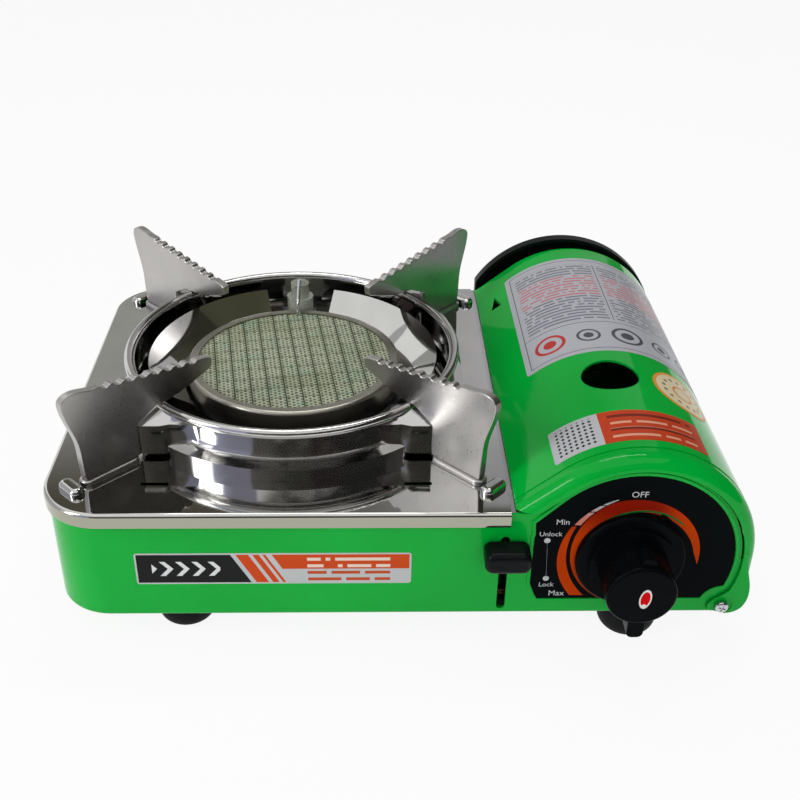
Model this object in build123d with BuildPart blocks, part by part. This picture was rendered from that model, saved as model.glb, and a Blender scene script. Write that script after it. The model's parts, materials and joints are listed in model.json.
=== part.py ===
from build123d import *
from math import cos, pi, radians, sin, sqrt
import os

os.makedirs("parts", exist_ok=True)

# Sizes of the whole stove, in mm
overall_width = 285.0
case_depth = 199.0
case_height = 52.0
foot_height = 13.5
knob_reach = 23.0
cover_depth = 7.5

# Sheet thicknesses and gaps
sheet = 1.0
plate_sheet = 0.8
case_inset = 1.4
running_gap = 0.05
safe_gap = 0.4

# Places are counted from the front left corner of the top plate: x right, y back, z up
left = -overall_width / 2
front = knob_reach - (knob_reach + case_depth + cover_depth) / 2
plate_top = foot_height + case_height
deck = Plane((left, front, plate_top))
face = Plane((left, front, plate_top), x_dir=(1, 0, 0), z_dir=(0, -1, 0))
side = Plane((left, front, plate_top), x_dir=(0, 1, 0), z_dir=(1, 0, 0))
floor_z = sheet - case_height
wall_back = case_inset + sheet
rear_wall = case_depth - case_inset
lead_z = floor_z + 2.6
pipe_z = floor_z + 3.4

# Hob
plate_width = 185.0
corner_radius = 25.0
skirt_height = 6.2
ring_x = 96.0
ring_y = case_depth / 2
hob = Plane((left + ring_x, front + ring_y, plate_top))
hob_section = Plane((left + ring_x, front + ring_y, plate_top), x_dir=(1, 0, 0), z_dir=(0, -1, 0))
hob_axis = Axis((left + ring_x, front + ring_y, 0), (0, 0, 1))
rim_radius = 73.0
wall_radius = 71.0
skirt_radius = 77.0
rim_top = 21.6
pocket_tip = 85.5
ring_sheet = 0.8
opening_radius = 66.0
ceramic_top = 12.6
tab_radius = 117.6
support_angles = {"front_left": 225, "front_right": 315, "rear_right": 45, "rear_left": 135}

# Cartridge bay
case_right = 280.5
arch_x = 235.5
arch_z = -24.0
lid_radius = 49.5
lid_foot = -46.0
panel_radius = 43.4
dial_x = 233.7
dial_z = -22.0
hinge_x = 274.5
hinge_z = -47.0
ear_radius = 7.2
cartridge_radius = 33.0
cartridge_z = -15.0
spindle_radius = 3.0
screw_radius = 1.5

# Cartridge lock
slot_x = 183.6
lever_pivot_y = 62.0
lever_pivot_z = -27.0
lever_arm = 14.0
lever_sheet = 1.2
hook_y = case_depth + 4.2


def hob_slice(angle):
    # upright plane through the ring's axis: local x outward, local y up
    turn = radians(angle)
    return Plane(hob.origin, x_dir=(cos(turn), sin(turn), 0), z_dir=(sin(turn), -cos(turn), 0))


def hob_ray(angle):
    # level plane on the hob: local x outward at this angle
    return Plane(hob.origin, x_dir=(cos(radians(angle)), sin(radians(angle)), 0), z_dir=(0, 0, 1))


def draw_pocket(*half):
    # plan of a folded pocket from one half of its outline
    Polygon(*half, *[(x, -y) for x, y in reversed(half) if y], align=None)


def draw_panel(grow):
    # arched front panel with its foot running out to the left
    diagonal = (panel_radius + grow) / sqrt(2)
    with Locations((arch_x, arch_z)):
        Circle(panel_radius + grow)
    Polygon(
        (arch_x, arch_z + diagonal),
        (arch_x - diagonal, arch_z + diagonal),
        (197.2 - grow, 0.4 + grow),
        (192.5, grow - 0.7),
        (184.0, grow - 0.8),
        (184.0, -12.0),
        (arch_x, -12.0),
        align=None,
    )
    with Locations((235, -8)):
        Rectangle(120, 76, mode=Mode.INTERSECT)


def draw_dial(grow):
    # printed plate: arch, cut corner at the upper left, leaning left edge with a round foot,
    # notch round the hinge screw
    dial_radius = 41.4 + grow
    low = -43.5 - grow
    edge = 194.9 - grow
    edge_foot = 197.6 - grow
    corner = 4.0 + grow
    diagonal = dial_radius / sqrt(2)
    with Locations((234.6, -23.8)):
        Circle(dial_radius)
    Polygon(
        (234.6 - diagonal, diagonal - 23.8),
        (edge, edge + 2 * diagonal - 258.4),
        (edge_foot - 0.06 * corner, low + corner),
        (edge_foot + 0.94 * corner, low),
        (234.6, low),
        (234.6, diagonal - 23.8),
        align=None,
    )
    with Locations((edge_foot + 0.94 * corner, low + corner)):
        Circle(corner)
    with Locations(((edge + 285) / 2, (low + 30) / 2)):
        Rectangle(285 - edge, 30 - low, mode=Mode.INTERSECT)
    with Locations((hinge_x, hinge_z)):
        Circle(9.9 - grow, mode=Mode.SUBTRACT)


def draw_lid(inset, foot):
    # outline of the lid: sloping left flank, arch, upright right side
    radius = lid_radius - inset
    slope = radians(38.8)
    touch_x = arch_x - radius * sin(slope)
    touch_z = arch_z + radius * cos(slope)
    run = touch_x - 187.0 + foot
    with BuildLine() as outline:
        Polyline(
            (touch_x, touch_z),
            (touch_x - run, touch_z - run * sin(slope) / cos(slope)),
            (touch_x - run, lid_foot - foot),
            (arch_x + radius, lid_foot - foot),
            (arch_x + radius, arch_z),
        )
        RadiusArc((touch_x, touch_z), (arch_x + radius, arch_z), radius)
    make_face(outline.edges())


def draw_lid_band(depth):
    # takes the lid's outline out of a larger one, so that a groove of this depth is left
    radius = lid_radius - depth
    slope = radians(38.8)
    touch_x = arch_x - radius * sin(slope)
    touch_z = arch_z + radius * cos(slope)
    run = touch_x - 187.0 + 6
    with BuildLine() as outline:
        Polyline(
            (touch_x, touch_z),
            (touch_x - run, touch_z - run * sin(slope) / cos(slope)),
            (touch_x - run, -50),
            (arch_x + radius, -50),
            (arch_x + radius, arch_z),
        )
        RadiusArc((touch_x, touch_z), (arch_x + radius, arch_z), radius)
    make_face(outline.edges(), mode=Mode.SUBTRACT)


def draw_ear():
    # lower right corner of the lid's end plates, round the hinge screw
    with BuildLine() as outline:
        Spline(
            (hinge_x + 6.5, hinge_z + 27.0),
            (hinge_x + 8.7, hinge_z + 16.0),
            (hinge_x + 10.2, hinge_z + 9.7),
            (hinge_x + 10.5, hinge_z + 5.8),
            (hinge_x + 9.8, hinge_z + 1.2),
            (hinge_x + 7.7, hinge_z - 2.3),
            (hinge_x + 4.5, hinge_z - 4.0),
            (hinge_x + 0.5, hinge_z - 4.2),
        )
        Polyline(
            (hinge_x + 0.5, hinge_z - 4.2),
            (hinge_x - 5.6, hinge_z - 2.4),
            (hinge_x - 5.6, hinge_z + 0.6),
            (hinge_x - 4.1, hinge_z + 2.6),
            (hinge_x + 1.0, hinge_z + 6.4),
            (hinge_x + 4.1, hinge_z + 9.6),
            (hinge_x + 5.1, hinge_z + 16.0),
            (hinge_x + 5.1, hinge_z + 27.0),
            (hinge_x + 6.5, hinge_z + 27.0),
        )
    make_face(outline.edges())


def draw_cover(inset):
    # outline of the rear cover: wide arch, upright sides, cut-out round the hinge screw
    with Locations((232.5, arch_z)):
        Circle(52.5 - inset)
    with Locations((236.25, -37)):
        Rectangle(97.5 - 2 * inset, 26 - 2 * inset)
    with Locations((236.25, -10)):
        Rectangle(97.5 - 2 * inset, 80 - 2 * inset, mode=Mode.INTERSECT)
    with Locations((hinge_x, hinge_z)):
        Circle(9.4 + inset, mode=Mode.SUBTRACT)
    with Locations((280, -48)):
        Rectangle(12 + 2 * inset, 14 + 2 * inset, mode=Mode.SUBTRACT)


# Lower case: floor, walls and the arched front panel
with BuildPart() as lower_case:
    with BuildSketch(deck.offset(-case_height)) as case_plan:
        with Locations(((case_inset + case_right) / 2, case_depth / 2)):
            Rectangle(case_right - case_inset, case_depth - 2 * case_inset)
        fillet(case_plan.vertices().group_by(Axis.X)[0], radius=corner_radius - case_inset)
    extrude(amount=case_height - plate_sheet)
    fillet(lower_case.faces().sort_by(Axis.Z)[0].edges().sort_by(Axis.X)[-1], radius=6)
    bottom_edges = lower_case.faces().sort_by(Axis.Z)[0].edges()
    fillet(bottom_edges.sort_by(Axis.X)[:-1], radius=1.6)
    offset(amount=-sheet, openings=lower_case.faces().sort_by(Axis.Z)[-1])
    # right wall stays low behind the lid
    with Locations((left + 262, front + case_depth / 2, plate_top - 13)):
        Box(120, case_depth - 2 * wall_back - 2, 40, mode=Mode.SUBTRACT)
    with Locations((left + 270, front + case_depth / 2, plate_top - 12)):
        Box(40, case_depth + 2, 24, mode=Mode.SUBTRACT)
    # arched panel above the case wall, with a joggled flange behind the lid's edge
    with BuildSketch(face.offset(-case_inset)):
        draw_panel(0)
    extrude(amount=-sheet)
    with BuildSketch(face.offset(-wall_back)):
        with Locations((arch_x, arch_z)):
            Circle(46.0)
            Circle(40.0, mode=Mode.SUBTRACT)
        with Locations((arch_x, arch_z + 42)):
            Rectangle(80, 44, mode=Mode.INTERSECT)
    extrude(amount=-sheet)
    # raised lip round the dial plate
    with BuildSketch(face.offset(-0.7)):
        draw_dial(1.5)
        with Locations((hinge_x, hinge_z)):
            Circle(ear_radius + 1.2, mode=Mode.SUBTRACT)
    extrude(amount=-0.8)
    with BuildSketch(face.offset(-0.6)):
        draw_dial(0.25)
    extrude(amount=-(case_inset - 0.6), mode=Mode.SUBTRACT)
    # rear opening that the cartridge's base stands in
    with BuildSketch(face.offset(-(case_depth - 4))):
        with Locations((arch_x, cartridge_z)):
            Circle(cartridge_radius + 2.5)
        with Locations(((189.3 + 272.5) / 2, 0)):
            Rectangle(272.5 - 189.3, 48)
    extrude(amount=-5, mode=Mode.SUBTRACT)
    # slot of the lock lever, hole of the valve spindle, screw holes
    with BuildSketch(face):
        with Locations((slot_x, -30.7)):
            SlotCenterToCenter(34.0, 3.5, rotation=90)
        with Locations((dial_x, dial_z)):
            Circle(spindle_radius + 1.2)
        with Locations((220, -8), (248, -8)):
            Circle(screw_radius)
    extrude(amount=-5, mode=Mode.SUBTRACT)
    with Locations(face.offset(-case_inset).location * Location((220, -8, 0)),
                   face.offset(-case_inset).location * Location((248, -8, 0))):
        Cone(screw_radius, 2.6, sheet, align=(Align.CENTER, Align.CENTER, Align.MAX), mode=Mode.SUBTRACT)
    with BuildSketch(face.offset(5)):
        with Locations((hinge_x, hinge_z)):
            Circle(screw_radius)
    extrude(amount=-(case_depth + 10), mode=Mode.SUBTRACT)
    with BuildSketch(face.offset(-(case_depth - 5))):
        with Locations((60, -3.6), (130, -3.6), (194, -41), (261.5, -45)):
            Circle(screw_radius)
        # vents of the burner bay in the rear wall
        with Locations((50, -26), (66, -26), (82, -26), (98, -26), (114, -26), (130, -26)):
            SlotCenterToCenter(18, 4, rotation=90)
    extrude(amount=-8, mode=Mode.SUBTRACT)
    # floor: holes of the feet and air slots under the burner
    with BuildSketch(deck.offset(-case_height - 1)):
        with Locations((53, 19), (239, 11.5), (53, 180), (239, 187.5)):
            Circle(3)
        with Locations((ring_x, ring_y)):
            with PolarLocations(34, 8):
                SlotCenterToCenter(16, 5)
    extrude(amount=3, mode=Mode.SUBTRACT)

with BuildPart() as dial_plate:
    with BuildSketch(face.offset(-case_inset)):
        draw_dial(0)
        with Locations((dial_x, dial_z)):
            Circle(spindle_radius + 1.2, mode=Mode.SUBTRACT)
    extrude(amount=0.4)

# Top plate with skirt, centre opening, slots and four lanced toe tabs
with BuildPart() as top_plate:
    with BuildSketch(deck.offset(-skirt_height)) as plate_plan:
        with Locations((plate_width / 2, case_depth / 2)):
            Rectangle(plate_width, case_depth)
        fillet(plate_plan.vertices().group_by(Axis.X)[0], radius=corner_radius)
    extrude(amount=skirt_height)
    top_edges = top_plate.faces().sort_by(Axis.Z)[-1].edges()
    fillet(top_edges.sort_by(Axis.X)[:-1], radius=1.8)
    with BuildSketch(deck.offset(-skirt_height)) as plate_hollow:
        with Locations(((plate_width + plate_sheet + 10) / 2, case_depth / 2)):
            Rectangle(plate_width - plate_sheet + 10, case_depth - 2 * plate_sheet)
        fillet(plate_hollow.vertices().group_by(Axis.X)[0], radius=corner_radius - plate_sheet)
    extrude(amount=skirt_height - plate_sheet, mode=Mode.SUBTRACT)
    # domed toe tabs, hollow and open towards the ring
    for angle in support_angles.values():
        with BuildSketch(hob_ray(angle).offset(-plate_sheet)):
            with Locations((tab_radius, 0)):
                RectangleRounded(6.4, 12.4, 2.9)
        extrude(amount=plate_sheet + 3.2)
    fillet(top_plate.faces().group_by(Axis.Z)[-1].edges(), radius=2.2)
    for angle in support_angles.values():
        with BuildSketch(hob_ray(angle).offset(-plate_sheet - 1)):
            with Locations((tab_radius - 1.2, 0)):
                Rectangle(4.8, 8.6)
        extrude(amount=plate_sheet + 3.2, mode=Mode.SUBTRACT)
    with BuildSketch(deck.offset(-plate_sheet - 1)):
        with Locations((ring_x, ring_y)):
            Circle(opening_radius)
        with Locations((44.5, 20.5), (149.5, 20.5)):
            Rectangle(11, 2)
    extrude(amount=3, mode=Mode.SUBTRACT)
    with BuildSketch(face.offset(-(case_depth - 3))):
        with Locations((60, -3.6), (130, -3.6)):
            Circle(screw_radius)
    extrude(amount=-5, mode=Mode.SUBTRACT)

# Windshield ring: rolled rim, shelf, lower wall and four folded corner pockets
with BuildPart() as wind_ring:
    with BuildSketch(hob_section):
        with BuildLine():
            Polyline(
                (0, 0),
                (skirt_radius, 0),
                (skirt_radius, 5.0),
                (rim_radius, 6.0),
                (wall_radius + 0.3, 7.2),
                (wall_radius, 9.0),
                (wall_radius, rim_top - 2),
                (0, rim_top - 2),
                close=True,
            )
        make_face()
    revolve(axis=hob_axis)
    for angle in support_angles.values():
        pocket = hob_ray(angle)
        nose = (pocket_tip - 6.5, 6.5)
        for low, high, crown in ((2, 15.4, False), (15.4, rim_top - 1.6, True)):
            with BuildSketch(pocket.offset(low)):
                draw_pocket((pocket_tip, 0), nose, (75.0, 8.5), (68.9, 16.0), (60, 16.0))
            with BuildSketch(pocket.offset(high)):
                if crown:
                    draw_pocket((75.5, 0), (73.6, 3.4), (72.6, 5.4), (70.2, 10.0), (60, 10.0))
                else:
                    draw_pocket((pocket_tip, 0), nose, (75.0, 8.5), (68.9, 16.0), (60, 16.0))
            loft(ruled=True)
    with BuildSketch(hob_section):
        with BuildLine():
            Polyline(
                (0, -1),
                (skirt_radius - ring_sheet, -1),
                (skirt_radius - ring_sheet, 4.4),
                (rim_radius - ring_sheet, 5.4),
                (wall_radius - ring_sheet + 0.2, 6.6),
                (wall_radius - ring_sheet, 8.8),
                (wall_radius - ring_sheet, 30),
                (0, 30),
                close=True,
            )
        make_face()
    revolve(axis=hob_axis, mode=Mode.SUBTRACT)
    for angle in support_angles.values():
        pocket = hob_ray(angle)
        nose = (pocket_tip - 7.3, 5.5)
        for low, high, crown in ((2 + ring_sheet, 15.4 - ring_sheet, False), (15.4 - ring_sheet, rim_top - 2.8, True)):
            with BuildSketch(pocket.offset(low)):
                draw_pocket((pocket_tip - 1.4, 0), nose, (74.2, 7.5), (68.2, 14.6), (60, 14.6))
            with BuildSketch(pocket.offset(high)):
                if crown:
                    draw_pocket((74.2, 0), (72.4, 2.8), (71.6, 4.7), (69.2, 8.9), (60, 8.9))
                else:
                    draw_pocket((pocket_tip - 1.4, 0), nose, (74.2, 7.5), (68.2, 14.6), (60, 14.6))
            loft(ruled=True, mode=Mode.SUBTRACT)
    # rolled rim and the bead at the wall's foot
    with BuildSketch(hob_section):
        with Locations((rim_radius - 0.3, rim_top - 2)):
            Circle(2)
    revolve(axis=hob_axis)

# Four serrated pot supports, each standing on a bar
supports = {}
bars = {}
for corner, angle in support_angles.items():
    with BuildPart() as support:
        with BuildSketch(hob_slice(angle).offset(-1.75)) as blade:
            with BuildLine():
                tip = Line((86.0, 2.5), (86.0, 16.6))
                seat = Polyline((86.0, 16.6), (76.0, rim_top + 0.1), (70.0, rim_top + 0.2))
                belly = Spline((70.0, rim_top + 0.2), (59.0, 24.4), (47.0, 28.5))
                nose = Polyline((47.0, 28.5), (46.5, 32.5), (49.5, 33.6))
                crest = Line((49.5, 33.6), (101.5, 41.0))
                horn = Spline((101.5, 41.0), (107.0, 41.8), (112.0, 42.6), (116.2, 41.3), (117.4, 37.8))
                flank = Spline((117.4, 37.8), (115.2, 28.5), (112.9, 20.5), (112.2, 12.0), (111.6, 2.5))
                Line((111.6, 2.5), (86.0, 2.5))
            make_face()
            for tooth in range(8):
                with Locations((56.0 + 5.9 * tooth, 35.4 + 0.84 * tooth)):
                    Circle(2.1, mode=Mode.SUBTRACT)
        extrude(amount=3.5)
    supports[corner] = support.part
    with BuildPart() as bar:
        with BuildSketch(hob_ray(angle)):
            with Locations((99.9, 0)):
                SlotCenterToCenter(20.0, 7.0)
        extrude(amount=2.5)
        fillet(bar.faces().sort_by(Axis.Z)[-1].edges(), radius=1.2)
    bars[corner] = bar.part

# Burner pan under the plate's opening, cut out for the mixing tube
with BuildPart() as burner_pan:
    with BuildSketch(hob_section):
        with BuildLine():
            Polyline(
                (72, -plate_sheet),
                (64, -plate_sheet),
                (64, -21.2),
                (30, -21.2),
                (30, -22),
                (64.8, -22),
                (64.8, -1.6),
                (72, -1.6),
                close=True,
            )
        make_face()
    revolve(axis=hob_axis)
    with BuildSketch(hob.offset(-25)):
        with Locations((48, 0)):
            Rectangle(40, 21)
        with Locations((0, 57.5)):
            Circle(5)
    extrude(amount=19, mode=Mode.SUBTRACT)

# Two polished wings beside the burner, each on a tab that stands in the pan
reflectors = {}
for name, start, tab_start in (("reflector_left", 105, 152), ("reflector_right", -35, 26)):
    with BuildPart() as wing:
        with BuildSketch(hob_slice(start)):
            Polygon((49.9, 4.2), (65.0, 16.0), (64.5, 16.7), (49.4, 4.9), align=None)
        revolve(axis=hob_axis, revolution_arc=110)
        with BuildSketch(hob_slice(tab_start)):
            Polygon((51.2, -21.2), (52.0, -21.2), (52.0, 6.4), (51.2, 5.8), align=None)
        revolve(axis=hob_axis, revolution_arc=16)
    reflectors[name] = wing.part

# Burner cup with the socket of the mixing tube and two ears
with BuildPart() as burner_cup:
    with BuildSketch(hob_section):
        Polygon((0, -26), (16, -26), (20, -22), (44.6, -2), (46.8, 0), (46.8, 8), (0, 8), align=None)
    revolve(axis=hob_axis)
    with BuildSketch(side.offset(ring_x + 20)):
        with Locations((ring_y, -17)):
            Circle(9)
    extrude(amount=24)
    with BuildSketch(hob.offset(1)):
        with Locations((53, 0), (-53, 0)):
            Rectangle(14, 12)
    extrude(amount=1)
    with BuildSketch(hob_section):
        Polygon((0, -25), (15.4, -25), (19.2, -21.2), (43.4, -1.6), (43.4, 0.6), (45.7, 0.6), (45.7, 9),
                (0, 9), align=None)
    revolve(axis=hob_axis, mode=Mode.SUBTRACT)
    with BuildSketch(side.offset(ring_x + 10)):
        with Locations((ring_y, -17)):
            Circle(8)
    extrude(amount=35, mode=Mode.SUBTRACT)
    with BuildSketch(hob):
        with Locations((56, 0), (-56, 0)):
            Circle(screw_radius)
    extrude(amount=4, mode=Mode.SUBTRACT)

with BuildPart() as ceramic_plate:
    with BuildSketch(hob.offset(0.6)):
        Circle(45.5)
    extrude(amount=ceramic_top - 0.6)

with BuildPart() as ceramic_frame:
    with BuildSketch(hob_section) as frame_profile:
        Polygon((43.5, ceramic_top), (43.5, 13.5), (47.8, 13.5), (47.8, 5), (47.0, 5), (47.0, ceramic_top),
                align=None)
        fillet(frame_profile.vertices().sort_by(Axis.X)[-2:].sort_by(Axis.Y)[-1], radius=1.8)
    revolve(axis=hob_axis)

# Brackets from the pan's wall to the cup's ears, and their screws
with BuildPart() as burner_brackets:
    for start in (-6, 174):
        with BuildSketch(hob_slice(start)):
            Polygon((52, 0), (52, 1), (64, 1), (64, -5.5), (63.2, -5.5), (63.2, 0), align=None)
        revolve(axis=hob_axis, revolution_arc=12)
    with BuildSketch(hob.offset(-1)):
        with Locations((56, 0), (-56, 0)):
            Circle(screw_radius)
    extrude(amount=3, mode=Mode.SUBTRACT)

with BuildPart() as burner_screws:
    with BuildSketch(hob.offset(2)):
        with Locations((56, 0), (-56, 0)):
            Circle(2.8)
    extrude(amount=1.9)
    fillet(burner_screws.faces().group_by(Axis.Z)[-1].edges(), radius=1.1)
    with BuildSketch(hob.offset(2)):
        with Locations((56, 0), (-56, 0)):
            Circle(screw_radius)
    extrude(amount=-5)
    with BuildSketch(hob):
        with Locations((56, 0), (-56, 0)):
            RegularPolygon(3.0, 6)
    extrude(amount=-2.2)

# Spark igniter at the back of the burner
with BuildPart() as igniter_bracket:
    with BuildSketch(hob_slice(83)):
        Polygon((50.5, 5), (50.5, 6), (64, 6), (64, -6), (63.2, -6), (63.2, 5), align=None)
    revolve(axis=hob_axis, revolution_arc=14)
    with BuildSketch(hob.offset(4)):
        with Locations((0, 57.5)):
            Circle(4.5)
    extrude(amount=3, mode=Mode.SUBTRACT)

with BuildPart() as igniter_insulator:
    with BuildSketch(hob.offset(-10)):
        with Locations((0, 57.5)):
            Circle(4.5)
    extrude(amount=33)
    with BuildSketch(hob.offset(6)):
        with Locations((0, 57.5)):
            Circle(6.4)
    extrude(amount=10)
    with BuildSketch(hob.offset(-10)):
        with Locations((0, 57.5)):
            Circle(0.9)
    extrude(amount=34, mode=Mode.SUBTRACT)

with BuildPart() as igniter_electrode:
    with BuildLine(hob) as wire:
        FilletPolyline((0, 57.5, -9.5), (0, 57.5, 25.4), (0, 39, 21.5), (0, 38, 16.4), radius=2)
    with BuildSketch(hob.offset(-9.5)):
        with Locations((0, 57.5)):
            Circle(0.9)
    sweep(path=wire.line)
    with BuildSketch(hob.offset(15.2)):
        with Locations((0, 38)):
            Circle(1.3)
    extrude(amount=2.4)

# Lead from the piezo igniter over the floor to the spark plug
with BuildPart() as ignition_lead:
    with BuildLine(deck) as lead_line:
        FilletPolyline(
            (202, 5, -31.8),
            (202, 5, lead_z),
            (168, 5, lead_z),
            (168, ring_y + 57.5, lead_z),
            (ring_x, ring_y + 57.5, lead_z),
            (ring_x, ring_y + 57.5, -16),
            radius=6,
        )
    with BuildSketch(deck.offset(-31.8)):
        with Locations((202, 5)):
            Circle(1.25)
    sweep(path=lead_line.line)
    with BuildSketch(hob.offset(-16.5)):
        with Locations((0, 57.5)):
            Circle(3.2)
    extrude(amount=6.5)
    with BuildSketch(hob.offset(-10)):
        with Locations((0, 57.5)):
            Circle(0.9)
    extrude(amount=0.5)

with BuildPart() as lead_clips:
    for clip_y in (40, 80, 125):
        with BuildSketch(face.offset(-clip_y)):
            with Locations((168, lead_z)):
                Rectangle(6.4, 5.2)
                Circle(1.25, mode=Mode.SUBTRACT)
        extrude(amount=-5)

# Gas way: mixing tube, injector on its bracket, pipe from the valve
with BuildPart() as mixing_tube:
    with BuildSketch(Plane((left, front + ring_y, plate_top - 17), x_dir=(1, 0, 0), z_dir=(0, -1, 0))):
        Polygon((140, 8), (140, 9), (158, 9), (163, 12), (172, 12), (172, 11), (163.4, 11), (158.4, 8),
                align=None)
    revolve(axis=Axis((0, front + ring_y, plate_top - 17), (1, 0, 0)))

with BuildPart() as injector:
    with BuildSketch(side.offset(168)):
        with Locations((ring_y, -17)):
            Circle(2.2)
    extrude(amount=8)
    with BuildSketch(side.offset(171)):
        with Locations((ring_y, -17)):
            Circle(3.5)
    extrude(amount=5)
    with BuildSketch(side.offset(175.5)):
        with Locations((ring_y, -17)):
            RegularPolygon(5.6, 6)
    extrude(amount=8)
    with BuildSketch(deck.offset(-24)):
        with Locations((179.5, ring_y)):
            Circle(3.4)
    extrude(amount=6)
    with BuildSketch(side.offset(167)):
        with Locations((ring_y, -17)):
            Circle(0.5)
    extrude(amount=6, mode=Mode.SUBTRACT)

with BuildPart() as injector_bracket:
    with BuildSketch(side.offset(174.3)):
        with Locations((ring_y, (floor_z - 8) / 2)):
            Rectangle(18, -8 - floor_z)
        with Locations((ring_y, -17)):
            Circle(3.5, mode=Mode.SUBTRACT)
    extrude(amount=1.2)
    with BuildSketch(deck.offset(floor_z)):
        with Locations((170.5, ring_y + 2)):
            Rectangle(8, 14)
        with Locations((168, ring_y)):
            Rectangle(6, 40, mode=Mode.SUBTRACT)
    extrude(amount=1.2)

with BuildPart() as gas_pipe:
    with BuildLine(deck) as pipe_line:
        FilletPolyline(
            (222, 10, -38),
            (222, 10, pipe_z),
            (179.5, 10, pipe_z),
            (179.5, ring_y, pipe_z),
            (179.5, ring_y, -24),
            radius=5,
        )
    with BuildSketch(deck.offset(-38)):
        with Locations((222, 10)):
            Circle(2.5)
            Circle(1.5, mode=Mode.SUBTRACT)
    sweep(path=pipe_line.line)

with BuildPart() as valve_body:
    with BuildSketch(face.offset(-6.2)):
        with Locations((238.5, -20.5)):
            RectangleRounded(47, 35, 4)
    extrude(amount=-7.3)
    with BuildSketch(face.offset(-wall_back)):
        with Locations((220, -8), (248, -8)):
            Circle(3.6)
    extrude(amount=-(6.2 - wall_back))
    with BuildSketch(face.offset(-wall_back)):
        with Locations((220, -8), (248, -8)):
            Circle(screw_radius)
    extrude(amount=-6, mode=Mode.SUBTRACT)
    with BuildSketch(face.offset(-6)):
        with Locations((dial_x, dial_z)):
            Circle(spindle_radius + running_gap)
    extrude(amount=-3.4, mode=Mode.SUBTRACT)
    with BuildSketch(face.offset(-14)):
        with Locations((arch_x, cartridge_z)):
            Circle(4.6)
    extrude(amount=4, mode=Mode.SUBTRACT)
    with BuildSketch(deck.offset(-39)):
        with Locations((222, 10)):
            Circle(1.5)
    extrude(amount=8, mode=Mode.SUBTRACT)

with BuildPart() as valve_screws:
    for screw_x in (220, 248):
        with Locations(face.offset(-case_inset).location * Location((screw_x, -8, 0))):
            Cone(screw_radius, 2.6, sheet, align=(Align.CENTER, Align.CENTER, Align.MAX))
        with BuildSketch(face.offset(-wall_back)):
            with Locations((screw_x, -8)):
                Circle(screw_radius)
        extrude(amount=-5)

with BuildPart() as regulator_cap:
    with BuildSketch(face.offset(-6.2)):
        with Locations((253, -29)):
            Circle(8.5)
    extrude(amount=3)
    fillet(regulator_cap.faces().sort_by(Axis.Y)[0].edges(), radius=1)

with BuildPart() as inlet_seal:
    with BuildSketch(face.offset(-13.4)):
        with Locations((arch_x, cartridge_z)):
            Circle(4.6)
            Circle(2.4, mode=Mode.SUBTRACT)
    extrude(amount=2)

# Valve spindle, igniter cam and knob, which turn together
with BuildPart() as valve_spindle:
    with BuildSketch(face.offset(12)):
        with Locations((dial_x, dial_z)):
            Circle(spindle_radius)
    extrude(amount=-21)
    with BuildSketch(face.offset(-5.5)):
        with Locations((dial_x, dial_z)):
            Circle(4.4)
    extrude(amount=-0.4)

with BuildPart() as igniter_cam:
    with BuildSketch(face.offset(-2.9)):
        with Locations((dial_x, dial_z)):
            Circle(6.5)
        with Locations((dial_x + 4, dial_z + 5.6)):
            Circle(2.5)
        with Locations((dial_x, dial_z)):
            Circle(spindle_radius, mode=Mode.SUBTRACT)
    extrude(amount=-2.6)

knob_disc = 22.0
knob_grip = 13.8
with BuildPart() as control_knob:
    with BuildSketch(face.offset(-0.6)):
        with Locations((dial_x, dial_z)):
            Circle(knob_disc)
    extrude(amount=3.2)
    fillet(control_knob.faces().sort_by(Axis.Y)[0].edges(), radius=1.6)
    with BuildSketch(face.offset(2)):
        with Locations((dial_x, dial_z)):
            Circle(knob_grip + 3.4)
    extrude(amount=2.6)
    with BuildSketch(face.offset(2)):
        with Locations((dial_x, dial_z)):
            Circle(knob_grip)
    extrude(amount=knob_reach - 2)
    fillet(control_knob.faces().sort_by(Axis.Y)[0].edges(), radius=1.5)
    # short finger rib at the top, long one at the bottom
    with BuildSketch(face.offset(knob_reach - 9)):
        for tilt, rib_reach, rib_width in ((85, 17.0, 5.6), (270, 22.4, 6.6)):
            with Locations(Location((dial_x, dial_z, 0), (0, 0, tilt))):
                with Locations(((rib_reach + 10) / 2, 0)):
                    RectangleRounded(rib_reach - 10, rib_width, 2.4)
    extrude(amount=7)
    with BuildSketch(face):
        with Locations((dial_x, dial_z)):
            Circle(spindle_radius)
    extrude(amount=12, mode=Mode.SUBTRACT)
    with BuildSketch(face.offset(-1)):
        with Locations((dial_x, dial_z)):
            Circle(spindle_radius)
    extrude(amount=2, mode=Mode.SUBTRACT)

# Piezo igniter beside the cam, its plunger towards the cam
with BuildPart() as piezo_igniter:
    with BuildSketch(side.offset(189)):
        with Locations((7.4, -27)):
            Circle(4.6)
    extrude(amount=24)
    with BuildSketch(side.offset(213)):
        with Locations((4.6, -25)):
            Circle(1.4)
    extrude(amount=9.5)
    with BuildSketch(deck.offset(-33)):
        with Locations((202, 5)):
            Circle(1.25)
    extrude(amount=1.2, mode=Mode.SUBTRACT)

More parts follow.
